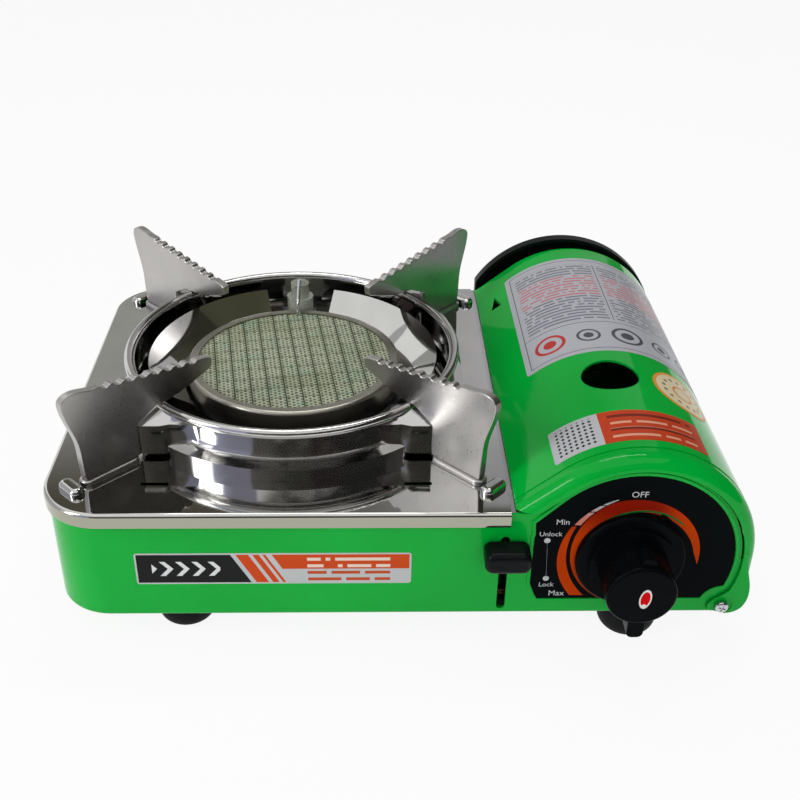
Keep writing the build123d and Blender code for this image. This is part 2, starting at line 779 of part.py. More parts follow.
# Partition between burner bay and cartridge bay
with BuildPart() as partition:
    with BuildSketch(side.offset(188)) as screen:
        with Locations(((wall_back + rear_wall - sheet) / 2, (floor_z - plate_sheet) / 2)):
            Rectangle(rear_wall - sheet - wall_back, -plate_sheet - floor_z)
        chamfer(screen.vertices().group_by(Axis.Y)[0], length=2.6)
        # lever pin, conductor, gas pipe and lead pass through
        with Locations((59.4, -13.6)):
            SlotCenterToCenter(5.0, 6.0, mode=Mode.SUBTRACT)
        with Locations((132.5, -22.6)):
            Rectangle(27, 3, mode=Mode.SUBTRACT)
        with Locations((10, pipe_z)):
            Circle(3.2, mode=Mode.SUBTRACT)
        with Locations((5, lead_z)):
            Circle(1.6, mode=Mode.SUBTRACT)
    extrude(amount=1)
    with BuildSketch(deck.offset(-plate_sheet - 1)):
        with Locations((182.5, case_depth / 2)):
            Rectangle(13, rear_wall - sheet - wall_back)
    extrude(amount=1)

with BuildPart() as heat_conductor:
    with BuildSketch(face.offset(-120)):
        with BuildLine():
            Polyline(
                (128, -22),
                (200, -22),
                (200, -12),
                (201.2, -12),
                (201.2, -32),
                (200, -32),
                (200, -23.2),
                (128, -23.2),
                close=True,
            )
        make_face()
    extrude(amount=-25)

saddles = {}
for name, saddle_y in (("cartridge_saddle_front", 52), ("cartridge_saddle_rear", 140)):
    with BuildPart() as saddle:
        with BuildSketch(face.offset(-saddle_y)):
            with Locations((arch_x, (floor_z - 38) / 2)):
                RectangleRounded(50, -38 - floor_z, 2)
            with Locations((arch_x, cartridge_z)):
                Circle(cartridge_radius + 0.2, mode=Mode.SUBTRACT)
        extrude(amount=-10)
    saddles[name] = saddle.part

# Cartridge lock: bell crank behind the front wall, pusher along the partition
pin_z = lever_pivot_z + lever_arm
with BuildPart() as lock_lever:
    with BuildSketch(side.offset(slot_x - lever_sheet / 2)):
        with BuildLine():
            Polyline(
                (-9.0, -14.4),
                (-9.0, -20.2),
                (4.0, -20.2),
                (lever_pivot_y - 4, lever_pivot_z - 5.4),
                (lever_pivot_y + 5.5, lever_pivot_z),
                (lever_pivot_y + 3, pin_z),
                (lever_pivot_y - 3, pin_z),
                (lever_pivot_y - 6, lever_pivot_z + 4),
                (4.0, -14.4),
                close=True,
            )
        make_face()
        with Locations((lever_pivot_y, pin_z)):
            Circle(3)
        with Locations((lever_pivot_y, lever_pivot_z)):
            Circle(5.5)
            Circle(2 + running_gap, mode=Mode.SUBTRACT)
    extrude(amount=lever_sheet)
    with BuildSketch(side.offset(slot_x + lever_sheet / 2)):
        with Locations((lever_pivot_y, pin_z)):
            Circle(1.5)
    extrude(amount=7.6)

with BuildPart() as lock_lever_knob:
    with BuildSketch(face.offset(0.6)):
        with Locations((slot_x + 0.3, -17.1)):
            RectangleRounded(18.1, 9.6, 3.4)
    extrude(amount=10)
    fillet(lock_lever_knob.faces().sort_by(Axis.Y)[0].edges(), radius=2.6)
    with BuildSketch(side.offset(slot_x - lever_sheet / 2)):
        with Locations((-4.5, -17.3)):
            Rectangle(9.0, 5.8)
    extrude(amount=lever_sheet, mode=Mode.SUBTRACT)

with BuildPart() as lever_pivot_pin:
    with BuildSketch(side.offset(slot_x + lever_sheet / 2 + 0.3)):
        with Locations((lever_pivot_y, lever_pivot_z)):
            Circle(3.5)
    extrude(amount=188 - slot_x - lever_sheet / 2 - 0.3)
    with BuildSketch(side.offset(slot_x - lever_sheet / 2 - 0.3)):
        with Locations((lever_pivot_y, lever_pivot_z)):
            Circle(2)
    extrude(amount=lever_sheet + 0.6)
    with BuildSketch(side.offset(slot_x - lever_sheet / 2 - 0.3)):
        with Locations((lever_pivot_y, lever_pivot_z)):
            Circle(3.6)
    extrude(amount=-1.2)

with BuildPart() as cartridge_pusher:
    with BuildSketch(side.offset(190)):
        with Locations(((hook_y + 54.6) / 2, -12)):
            Rectangle(hook_y - 53.4, 12)
        with Locations((62, -13.4)):
            Rectangle(3.8, 4.8, mode=Mode.SUBTRACT)
        with Locations((92.2, -12), (172.2, -12)):
            SlotCenterToCenter(4.6, 3.6, mode=Mode.SUBTRACT)
    extrude(amount=1.2)
    with BuildSketch(side.offset(190)):
        with Locations((hook_y, -12)):
            Rectangle(1.2, 12)
    extrude(amount=34)

with BuildPart() as pusher_guides:
    for guide_y in (90, 170):
        with BuildSketch(side.offset(189)):
            with Locations((guide_y, -12)):
                Circle(3)
        extrude(amount=0.7)
        with BuildSketch(side.offset(189.7)):
            with Locations((guide_y, -12)):
                Circle(1.5)
        extrude(amount=1.8)
        with BuildSketch(side.offset(191.5)):
            with Locations((guide_y, -12)):
                Circle(3)
        extrude(amount=0.9)

# Hollow of the lid, and the lid of the cartridge bay, hinged along its lower right edge
with BuildPart() as lid_hollow:
    with BuildSketch(face.offset(-sheet)):
        draw_lid(sheet, 12)
    extrude(amount=-(case_depth - 2 * sheet))
    hollow_rims = lid_hollow.faces().filter_by(Axis.Y).edges()
    fillet(hollow_rims.filter_by(lambda edge: edge.center().Z > plate_top - 42), radius=5)

with BuildPart() as lid:
    with BuildSketch(face):
        draw_lid(0, 0)
    extrude(amount=-case_depth)
    rims = lid.faces().filter_by(Axis.Y).edges()
    fillet(rims.filter_by(lambda edge: edge.center().Z > plate_top - 36
                          and edge.center().X > left + 190), radius=6)
    add(lid_hollow.part, mode=Mode.SUBTRACT)
    with BuildSketch(face.offset(2)):
        draw_panel(0.6)
        with Locations((225, -35)):
            Rectangle(82, 70)
    extrude(amount=-(case_depth + 4), mode=Mode.SUBTRACT)
    # rounded lower corners, with a dimple round each hinge screw
    for start, turn in ((0, 1), (case_depth, -1)):
        with BuildSketch(face.offset(-start)):
            draw_ear()
        extrude(amount=-turn * sheet)
        with BuildSketch(face.offset(-start)):
            with Locations((hinge_x, hinge_z)):
                Circle(4.6)
        extrude(amount=-turn * 0.4, mode=Mode.SUBTRACT)
    with BuildSketch(face.offset(1)):
        with Locations((hinge_x, hinge_z)):
            Circle(2 + running_gap)
    extrude(amount=-(case_depth + 2), mode=Mode.SUBTRACT)
    # swage line behind the front edge and ahead of the rear edge
    with BuildSketch(face.offset(-7.5)):
        draw_lid(-1, 0)
        draw_lid_band(0.4)
    extrude(amount=-2, mode=Mode.SUBTRACT)
    # round viewing hole on top, three-cornered hole in the left flank
    with BuildSketch(deck.offset(2)):
        with Locations((232.3, 64)):
            Circle(12.2)
        Polygon((192.6, 162), (197.4, 162), (195.0, 173), align=None)
    extrude(amount=30, mode=Mode.SUBTRACT)

# Hinge screws with their nuts behind the walls
screws = {}
for name, start, turn in (("hinge_screw_front", 0, 1), ("hinge_screw_rear", case_depth, -1)):
    with BuildPart() as hinge_screw:
        with BuildSketch(face.offset(-start + turn * 0.3)):
            with Locations((hinge_x, hinge_z)):
                Circle(2.75)
        extrude(amount=turn * 1.9)
        head = hinge_screw.faces().sort_by(Axis.Y)[0 if turn > 0 else -1]
        fillet(head.edges(), radius=1.2)
        with BuildSketch(face.offset(-start + turn * 0.3)):
            with Locations((hinge_x, hinge_z)):
                Circle(2)
        extrude(amount=-turn * (case_inset + 0.3))
        with BuildSketch(face.offset(-start - turn * case_inset)):
            with Locations((hinge_x, hinge_z)):
                Circle(screw_radius)
        extrude(amount=-turn * 4)
    screws[name] = hinge_screw.part

with BuildPart() as hinge_nuts:
    for start, turn in ((0, 1), (case_depth, -1)):
        with BuildSketch(face.offset(-start - turn * wall_back)):
            with Locations((hinge_x - 0.7, hinge_z + 0.9)):
                Rectangle(6.2, 4.2)
            with Locations((hinge_x, hinge_z)):
                Circle(screw_radius, mode=Mode.SUBTRACT)
        extrude(amount=-turn * 2.4)

# Spring clip that holds the lid's flank
with BuildPart() as lid_catch:
    with BuildSketch(face.offset(-(case_depth - 24))):
        Polygon((189, -5.5), (190, -5.5), (190, -4), (191.4, -2.2), (190.2, 0.2), (189.4, -0.2),
                (190.2, -2.2), (189, -3.8), align=None)
    extrude(amount=-14)

# Rear cover over the cartridge's base, with its two screws
with BuildPart() as rear_cover:
    with BuildSketch(face.offset(-case_depth - safe_gap)):
        draw_cover(0)
    extrude(amount=-(cover_depth - safe_gap))
    fillet(rear_cover.faces().sort_by(Axis.Y)[-1].edges(), radius=2)
    with BuildSketch(face.offset(-case_depth - safe_gap)):
        draw_cover(1.8)
    extrude(amount=-(cover_depth - safe_gap - 1.8), mode=Mode.SUBTRACT)
    with BuildSketch(face.offset(-rear_wall)):
        with Locations((194, -41), (261.5, -45)):
            Circle(3.4)
    extrude(amount=-(case_depth + cover_depth - 1 - rear_wall))
    with BuildSketch(face.offset(-rear_wall + 1)):
        with Locations((194, -41), (261.5, -45)):
            Circle(screw_radius)
    extrude(amount=-12, mode=Mode.SUBTRACT)
    with BuildSketch(face.offset(-case_depth - cover_depth + 2.2)):
        with Locations((194, -41), (261.5, -45)):
            Circle(2.6)
    extrude(amount=-4, mode=Mode.SUBTRACT)

with BuildPart() as rear_cover_screws:
    for screw_x, screw_z in ((194, -41), (261.5, -45)):
        with BuildSketch(face.offset(-case_depth - cover_depth + 2.2)):
            with Locations((screw_x, screw_z)):
                Circle(2.5)
        extrude(amount=-1.8)
        with BuildSketch(face.offset(-case_depth - cover_depth + 2.2)):
            with Locations((screw_x, screw_z)):
                Circle(screw_radius)
        extrude(amount=case_depth + cover_depth - 2.2 - rear_wall + 3.5)

with BuildPart() as plate_screws:
    for screw_x in (60, 130):
        with BuildSketch(face.offset(-case_depth)):
            with Locations((screw_x, -3.6)):
                Circle(2.5)
        extrude(amount=-1.6)
        with BuildSketch(face.offset(-case_depth)):
            with Locations((screw_x, -3.6)):
                Circle(screw_radius)
        extrude(amount=5)

# Four domed feet, each with a plug through the floor
feet = {}
foot_places = {"front_left": (53, 19), "front_right": (239, 11.5), "rear_left": (53, 180), "rear_right": (239, 187.5)}
for corner, (foot_x, foot_y) in foot_places.items():
    foot_section = Plane((left + foot_x, front + foot_y, 0), x_dir=(1, 0, 0), z_dir=(0, -1, 0))
    with BuildPart() as foot:
        with BuildSketch(foot_section):
            with BuildLine():
                Polyline((0, 0), (8, 0))
                Spline((8, 0), (11.4, 2.4), (12.5, 7.0), (12.0, foot_height))
                Polyline((12.0, foot_height), (3, foot_height), (3, foot_height + 1.8), (0, foot_height + 1.8), (0, 0))
            make_face()
        revolve(axis=Axis((left + foot_x, front + foot_y, 0), (0, 0, 1)))
    feet[corner] = foot.part

parts = {
    "lower_case": lower_case.part,
    "dial_plate": dial_plate.part,
    "top_plate": top_plate.part,
    "wind_ring": wind_ring.part,
    "burner_pan": burner_pan.part,
    "burner_cup": burner_cup.part,
    "ceramic_plate": ceramic_plate.part,
    "ceramic_frame": ceramic_frame.part,
    "burner_brackets": burner_brackets.part,
    "burner_screws": burner_screws.part,
    "igniter_bracket": igniter_bracket.part,
    "igniter_insulator": igniter_insulator.part,
    "igniter_electrode": igniter_electrode.part,
    "ignition_lead": ignition_lead.part,
    "lead_clips": lead_clips.part,
    "mixing_tube": mixing_tube.part,
    "injector": injector.part,
    "injector_bracket": injector_bracket.part,
    "gas_pipe": gas_pipe.part,
    "valve_body": valve_body.part,
    "valve_screws": valve_screws.part,
    "regulator_cap": regulator_cap.part,
    "inlet_seal": inlet_seal.part,
    "valve_spindle": valve_spindle.part,
    "igniter_cam": igniter_cam.part,
    "control_knob": control_knob.part,
    "piezo_igniter": piezo_igniter.part,
    "partition": partition.part,
    "heat_conductor": heat_conductor.part,
    "lock_lever": lock_lever.part,
    "lock_lever_knob": lock_lever_knob.part,
    "lever_pivot_pin": lever_pivot_pin.part,
    "cartridge_pusher": cartridge_pusher.part,
    "pusher_guides": pusher_guides.part,
    "lid": lid.part,
    "hinge_nuts": hinge_nuts.part,
    "lid_catch": lid_catch.part,
    "rear_cover": rear_cover.part,
    "rear_cover_screws": rear_cover_screws.part,
    "plate_screws": plate_screws.part,
}
parts.update({"pot_support_" + corner: solid for corner, solid in supports.items()})
parts.update({"support_bar_" + corner: solid for corner, solid in bars.items()})
parts.update(reflectors)
parts.update(saddles)
parts.update(screws)
parts.update({"foot_" + corner: solid for corner, solid in feet.items()})

for name, solid in parts.items():
    solid.label = name
    export_step(solid, "parts/" + name + ".step")
    print(name, len(solid.solids()), round(solid.volume), solid.is_valid)
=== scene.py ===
import json
from math import cos, pi, radians, sin, sqrt

import bmesh
import bpy
from mathutils import Matrix, Vector


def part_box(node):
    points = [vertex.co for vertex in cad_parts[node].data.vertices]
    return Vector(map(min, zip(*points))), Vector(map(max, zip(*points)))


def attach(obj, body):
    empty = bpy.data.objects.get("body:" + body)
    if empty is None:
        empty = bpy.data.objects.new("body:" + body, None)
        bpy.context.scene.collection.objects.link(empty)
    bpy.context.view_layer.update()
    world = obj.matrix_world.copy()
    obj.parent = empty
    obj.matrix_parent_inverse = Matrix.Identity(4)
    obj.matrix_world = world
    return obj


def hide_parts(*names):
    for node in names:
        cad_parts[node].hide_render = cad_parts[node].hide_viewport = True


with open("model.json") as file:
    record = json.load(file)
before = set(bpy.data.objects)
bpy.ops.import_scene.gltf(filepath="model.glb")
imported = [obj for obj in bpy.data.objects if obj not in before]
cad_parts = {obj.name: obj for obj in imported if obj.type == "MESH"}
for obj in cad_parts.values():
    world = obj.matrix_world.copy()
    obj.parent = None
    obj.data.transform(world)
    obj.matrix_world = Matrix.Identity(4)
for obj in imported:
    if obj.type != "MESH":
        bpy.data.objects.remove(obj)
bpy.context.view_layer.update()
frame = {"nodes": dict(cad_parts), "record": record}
nodes = frame["nodes"]
record = frame["record"]
bodyOf = {node: body for body, members in record["behaviour"]["bodies"].items() for node in members}
slotOf = {part["node"]: part["material_slot"] for part in record["subparts"]}
print("frame loaded,", len(nodes), "nodes")


# place of the top plate's front left corner in the row's frame, in mm
corner = (-142.5, -91.75, 65.5)


def at(x, y, z):
    # millimetres from that corner, to metres in the row's frame
    return Vector([(value + start) / 1000 for value, start in zip((x, y, z), corner)])


viewPoint = {"place": (128.22, -336.11, 260.70), "lens": 49.49, "pitch": 31.798, "yaw": 2.140, "roll": 1.159}
studio = {
    "world": 0.42,
    "lamps": (
        # name, place in mm, aim in mm, width, depth, power, seen in the polished steel
        ("overhead", (160, 330, 760), (130, 100, 0), 520, 120, 1.5, True),
        ("leftWindow", (-620, -330, 420), (130, 80, -10), 180, 560, 3.0, True),
        ("frontFill", (330, -820, 420), (150, 40, -20), 420, 320, 1.6, False),
    ),
    "cards": (
        # name, place in mm, width, height, lean and turn in degrees,
        # then the light of its lower left, lower right, upper left and upper right
        ("ceiling", (980, 800, 1300), 1520, 1800, 90, 0,
         (0.08, 0.08, 0.05), (0.04, 0.04, 0.03), (0.08, 0.08, 0.05), (0.04, 0.04, 0.03)),
        ("backWall", (75, 1700, 700), 1850, 2000, 0, 0,
         (0.42, 0.42, 0.40), (0.56, 0.55, 0.57), (0.10, 0.09, 0.07), (0.40, 0.40, 0.42)),
        ("rightWall", (1000, 200, 560), 3000, 1500, 0, -90,
         (0.07, 0.07, 0.05), (0.03, 0.03, 0.03), (0.04, 0.04, 0.03), (0.03, 0.03, 0.03)),
        ("behindRight", (900, -1250, 560), 1300, 1500, 0, -150,
         (0.05, 0.04, 0.035), (0.07, 0.05, 0.045), (0.03, 0.03, 0.03), (0.04, 0.03, 0.03)),
        ("behindMiddle", (-150, -1500, 560), 1200, 1500, 0, 180,
         (0.10, 0.09, 0.08), (0.20, 0.19, 0.18), (0.06, 0.06, 0.05), (0.14, 0.13, 0.12)),
        ("behindLeft", (-964, -960, 560), 1000, 1500, 0, 135,
         (0.52, 0.54, 0.72), (0.66, 0.70, 0.98), (0.36, 0.36, 0.48), (0.56, 0.59, 0.82)),
        ("leftWall", (-1300, 450, 560), 1500, 1500, 0, 90,
         (0.55, 0.55, 0.60), (0.50, 0.50, 0.52), (0.62, 0.62, 0.68), (0.50, 0.50, 0.52)),
    ),
}


def addCamera(view):
    pitch, yaw, roll = (radians(view[key]) for key in ("pitch", "yaw", "roll"))
    forward = Vector((sin(yaw) * cos(pitch), cos(yaw) * cos(pitch), -sin(pitch)))
    right = Vector((cos(yaw), -sin(yaw), 0))
    up = right.cross(forward)
    across = cos(roll) * right + sin(roll) * up
    upright = cos(roll) * up - sin(roll) * right
    data = bpy.data.cameras.new("camera")
    data.lens, data.sensor_width = view["lens"], 36
    data.clip_start, data.clip_end = 0.01, 20
    camera = bpy.data.objects.new("camera", data)
    turn = Matrix((across, upright, -forward)).transposed().to_4x4()
    camera.matrix_world = Matrix.Translation(at(*view["place"])) @ turn
    bpy.context.scene.collection.objects.link(camera)
    bpy.context.scene.camera = camera


def addLamp(name, place, aim, width, depth, power, mirrored):
    data = bpy.data.lights.new(name, "AREA")
    data.shape, data.size, data.size_y, data.energy = "RECTANGLE", width / 1000, depth / 1000, power
    lamp = bpy.data.objects.new(name, data)
    start, end = at(*place), at(*aim)
    lamp.location = start
    lamp.visible_glossy = mirrored
    lamp.rotation_euler = (end - start).to_track_quat("-Z", "Y").to_euler()
    bpy.context.scene.collection.objects.link(lamp)


addCamera(viewPoint)
for lamp in studio["lamps"]:
    addLamp(*lamp)
bpy.context.scene.view_settings.view_transform = "Standard"


def paint(red, green, blue):
    # a printed colour, 0 to 255, as the light it sends back
    def light(value):
        value /= 255
        return value / 12.92 if value <= 0.04045 else ((value + 0.055) / 1.055) ** 2.4
    return (light(red), light(green), light(blue), 1)


class Wire:
    # an output socket that can be used in sums
    def __init__(self, finish, socket):
        self.finish, self.socket = finish, socket

    def sum(self, operation, *terms):
        return self.finish.make("Math", {"operation": operation}, dict(enumerate(terms)))

    def __add__(self, other):
        return self.sum("ADD", self, other)

    def __radd__(self, other):
        return self.sum("ADD", other, self)

    def __sub__(self, other):
        return self.sum("SUBTRACT", self, other)

    def __rsub__(self, other):
        return self.sum("SUBTRACT", other, self)

    def __mul__(self, other):
        return self.sum("MULTIPLY", self, other)

    def __truediv__(self, other):
        return self.sum("DIVIDE", self, other)

    def __pow__(self, other):
        return self.sum("POWER", self, other)

    def __abs__(self):
        return self.sum("ABSOLUTE", self)

    def __gt__(self, other):
        return self.sum("GREATER_THAN", self, other)

    def __lt__(self, other):
        return self.sum("LESS_THAN", self, other)

    def most(self, other):
        return self.sum("MAXIMUM", self, other)

    def angle(self, other):
        return self.sum("ARCTAN2", self, other)

    def saw(self, period):
        # distance past the last line, from 0 to the period
        return self.sum("WRAP", self, period, 0)

    def whole(self):
        return self.sum("FLOOR", self)


class Finish:
    # one material: its shader, with every other node made by make()
    def __init__(self, name, constants, slot=None):
        self.material = bpy.data.materials.new(name)
        self.material.use_nodes = True
        self.tree = self.material.node_tree
        self.shader = self.tree.nodes["Principled BSDF"]
        self.slot = slot
        for socket, value in constants.items():
            self.shader.inputs[socket].default_value = value

    def make(self, kind, settings, sockets, out=0):
        node = self.tree.nodes.new("ShaderNode" + kind)
        for name, value in settings.items():
            setattr(node, name, value)
        for name, value in sockets.items():
            socket = node.inputs[name]
            if isinstance(value, Wire):
                self.tree.links.new(value.socket, socket)
            elif socket.type == "RGBA" and not isinstance(value, (int, float)):
                socket.default_value = tuple(value)[:3] + (1,)
            else:
                socket.default_value = value
        return Wire(self, node.outputs[out])

    def feed(self, socket, wire):
        self.tree.links.new(wire.socket, self.shader.inputs[socket])

    def coordinates(self):
        return self.make("TexCoord", {}, {}, "Object")

    def mm(self, source="Object"):
        # x, y, z counted from the front left corner of the top plate, or u, v of the piece's own map
        where = self.make("TexCoord", {}, {}, source)
        shift = [-start for start in corner] if source == "Object" else (0, 0, 0)
        spread = self.make("VectorMath", {"operation": "MULTIPLY_ADD"},
                           {0: where, 1: (1000, 1000, 1000), 2: shift})
        return [self.make("SeparateXYZ", {}, {0: spread}, axis) for axis in "XYZ"]

    def noise(self, size, detail=2.0, stretch=(1, 1, 1), out=0, rough=0.5, warp=0.0):
        # size is the pattern's grain in mm
        scaled = self.make("Mapping", {}, {"Vector": self.coordinates(), "Scale": stretch})
        return self.make("TexNoise", {}, {"Vector": scaled, "Scale": 1000 / size, "Detail": detail,
                                          "Roughness": rough, "Distortion": warp}, out)

    def smooth(self, low, high, value, start=0.0, end=1.0):
        return self.make("MapRange", {"interpolation_type": "SMOOTHSTEP"},
                         {0: value, 1: low, 2: high, 3: start, 4: end})

    def spread(self, low, high, value, start=0.0, end=1.0):
        return self.make("MapRange", {}, {0: value, 1: low, 2: high, 3: start, 4: end})

    def band(self, low, high, value, soft=0.06):
        # 1 between low and high
        return self.smooth(low - soft, low + soft, value) * (1 - self.smooth(high - soft, high + soft, value))

    def disc(self, u, v, centre, radius, soft=0.06):
        # 1 inside a circle
        right, up = u - centre[0], v - centre[1]
        return 1 - self.smooth(radius - soft, radius + soft, (right * right + up * up) ** 0.5)

    def chance(self, *terms):
        # a fixed random number for each set of whole numbers
        where = self.make("CombineXYZ", {}, dict(enumerate(terms)))
        return self.make("TexWhiteNoise", {}, {"Vector": where}, "Value")

    def mix(self, share, under, over, mode="MIX"):
        return self.make("Mix", {"data_type": "RGBA", "blend_type": mode}, {0: share, 6: under, 7: over}, 2)

    def bump(self, height, depth, strength=1.0):
        # depth in mm for a height of 1
        return self.make("Bump", {}, {"Strength": strength, "Distance": depth / 1000, "Height": height})


def makeGloss(name, colour, deep, slot, rough=0.07):
    # baked enamel: a little orange peel, fine dust, faint drift of the tone
    finish = Finish(name, {"Roughness": rough, "Coat Weight": 0.08, "Coat Roughness": 0.03,
                           "Specular IOR Level": 0.14}, slot)
    drift = finish.noise(46, 3)
    tone = finish.mix(finish.spread(0.3, 0.7, drift), colour, deep)
    dust = finish.smooth(0.72, 0.78, finish.noise(1.3, 2, rough=0.7))
    finish.feed("Base Color", finish.mix(dust * 0.10, tone, paint(200, 215, 200)))
    finish.feed("Roughness", rough + dust * 0.25 + finish.smooth(0.45, 0.75, finish.noise(23, 4)) * 0.07)
    peel = finish.noise(2.6, 2)
    finish.feed("Normal", finish.bump(peel, 0.012, 0.5))
    return finish


def makeSteel(name, colour, slot, rough=0.06, grain=0.0, streak=(1, 1, 1), grainSize=0.35, smudge=0.10,
              stain=0.0, wave=0.0, paintedSkirtShade=None):
    # polished or satin sheet steel with wiping marks; painted shade can darken it below the top plate's face,
    # standing in for the darker reflection the skirt shows there
    finish = Finish(name, {"Metallic": 1.0, "Roughness": rough}, slot)
    tone = finish.spread(0.3, 0.7, finish.noise(30, 3))
    dull = tuple(part * 0.86 for part in colour[:3]) + (1,)
    shade = finish.mix(tone, colour, dull)
    marks = finish.smooth(0.5, 0.72, finish.noise(17, 5, rough=0.62, warp=0.6))
    if stain:
        spots = finish.smooth(0.6, 0.75, finish.noise(9, 4, rough=0.6))
        shade = finish.mix(spots * stain, shade, paint(120, 104, 82))
    # painted shade: below the top plate's face the skirt takes the darker colour given
    if paintedSkirtShade:
        z = finish.mm()[2]
        shade = finish.mix(finish.smooth(-1.2, -0.4, z), paintedSkirtShade, shade)
    finish.feed("Base Color", shade)
    lines = finish.noise(grainSize, 3, stretch=streak, rough=0.6)
    finish.feed("Roughness", rough + marks * smudge + (lines - 0.5) * grain)
    height = lines * grain
    if wave:
        height = height + finish.noise(38, 1) * wave
    finish.feed("Normal", finish.bump(height, 0.05, 0.5))
    return finish


def makePlastic(name, colour, slot, rough=0.38, texture=0.5, pale=paint(44, 46, 48), shine=0.1):
    # moulded plastic or rubber: fine spark grain, rubbed high spots
    finish = Finish(name, {"Roughness": rough, "Specular IOR Level": shine}, slot)
    worn = finish.smooth(0.55, 0.8, finish.noise(14, 4, rough=0.65))
    finish.feed("Base Color", finish.mix(worn * 0.18, colour, pale))
    finish.feed("Roughness", rough + worn * 0.14 + (finish.noise(0.9, 2) - 0.5) * 0.12)
    finish.feed("Normal", finish.bump(finish.noise(0.45, 2), 0.02, texture))
    return finish


greenGloss = makeGloss("greenGloss", paint(0, 178, 60), paint(0, 166, 54), "green_paint")
mirrorSteel = makeSteel("mirrorSteel", paint(206, 206, 203), "polished_steel", 0.05,
                        grain=0.02, streak=(1, 0.08, 1), grainSize=0.6, smudge=0.06)
# the top plate's copy of the steel, with a painted shade colour on its skirt
plateSteel = makeSteel("plateSteel", paint(206, 206, 203), "polished_steel", 0.05,
                       grain=0.02, streak=(1, 0.08, 1), grainSize=0.6, smudge=0.06,
                       paintedSkirtShade=paint(168, 168, 153))
ringSteel = makeSteel("ringSteel", paint(200, 199, 197), "polished_steel", 0.09,
                      grain=0.008, streak=(0.1, 0.1, 3), grainSize=0.8, smudge=0.08)
satinSteel = makeSteel("satinSteel", paint(190, 187, 184), "satin_steel", 0.30,
                       grain=0.18, streak=(1, 1, 0.25), grainSize=0.5, smudge=0.10, wave=0.4)
rolledSteel = makeSteel("rolledSteel", paint(168, 165, 155), "satin_steel", 0.32,
                        grain=0.14, streak=(1, 1, 0.3), grainSize=0.7, smudge=0.14, stain=0.25)
zincSteel = makeSteel("zincSteel", paint(205, 207, 210), "zinc_steel", 0.24,
                      grain=0.10, grainSize=0.4, smudge=0.12, stain=0.1)
castAluminium = makeSteel("castAluminium", paint(172, 172, 174), "cast_aluminium", 0.42,
                          grain=0.2, grainSize=0.6, smudge=0.1)
brass = makeSteel("brass", paint(205, 165, 90), "yellow_brass", 0.25, grain=0.1, grainSize=0.5, smudge=0.1)
copper = makeSteel("copper", paint(112, 78, 60), "copper_pipe", 0.28,
                   grain=0.1, grainSize=0.5, smudge=0.12, stain=0.3)
blackPlastic = makePlastic("blackPlastic", paint(10, 12, 14), "black_plastic", 0.34, 0.4)
blackRubber = makePlastic("blackRubber", paint(20, 20, 21), "black_rubber", 0.6, 0.9)


def makePanSteel():
    # enamelled pan, browned in patches by heat
    finish = Finish("panSteel", {"Metallic": 0.7, "Roughness": 0.38}, "dark_steel")
    fumes = finish.noise(16, 4, rough=0.6)
    finish.feed("Base Color", finish.mix(fumes, paint(46, 46, 50), paint(74, 68, 62)))
    finish.feed("Roughness", 0.3 + fumes * 0.25)
    finish.feed("Normal", finish.bump(finish.noise(1.2, 3), 0.03, 0.5))
    return finish


def makeGlaze():
    # glazed insulator porcelain, greyed near the spark
    finish = Finish("glaze", {"Roughness": 0.2, "Coat Weight": 0.3}, "white_ceramic")
    z = finish.mm()[2]
    soot = finish.smooth(14, 24, z) * finish.noise(3, 3)
    finish.feed("Base Color", finish.mix(soot * 0.9, paint(158, 162, 148), paint(92, 96, 84)))
    finish.feed("Roughness", 0.2 + finish.noise(2, 2) * 0.15)
    finish.feed("Normal", finish.bump(finish.noise(1.5, 2), 0.02, 0.4))
    return finish


arch = {"axis": (235.5, -24.0), "radius": 49.5, "slope": 38.8}
dial = {"cap": -23.0, "face": 1.0, "sunk": 0.03, "ink": 0.04, "dot": 1.25, "line": 0.6}
# discs of the dial's print: centre x and z, radius, in mm; outer and inner are where their two discs
# overlap, and second, wedge and rim are what the first disc shows beyond the second
dialDiscs = {
    "outer": (((233.3, -22.0), 28.3), ((237.5, -19.5), 27.8)),
    "inner": (((233.8, -25.5), 25.9), ((236.5, -22.5), 23.8)),
    "horn": ((210.5, -41.3), 53.1),
    "second": (((235.9, -22.6), 31.2), ((240.4, -19.7), 32.3)),
    "wedge": (((235.0, -21.6), 29.5), ((237.9, -20.9), 29.5)),
    "rim": (((236.5, -22.5), 23.7), ((236.5, -22.5), 22.9)),
}
# red pointer on the knob's cap: centre x and z, lean in degrees, half length, half width and dot in mm
pointer = {"place": (235.0, -22.9), "lean": 4.8, "long": 4.8, "wide": 2.4, "dot": 0.85}


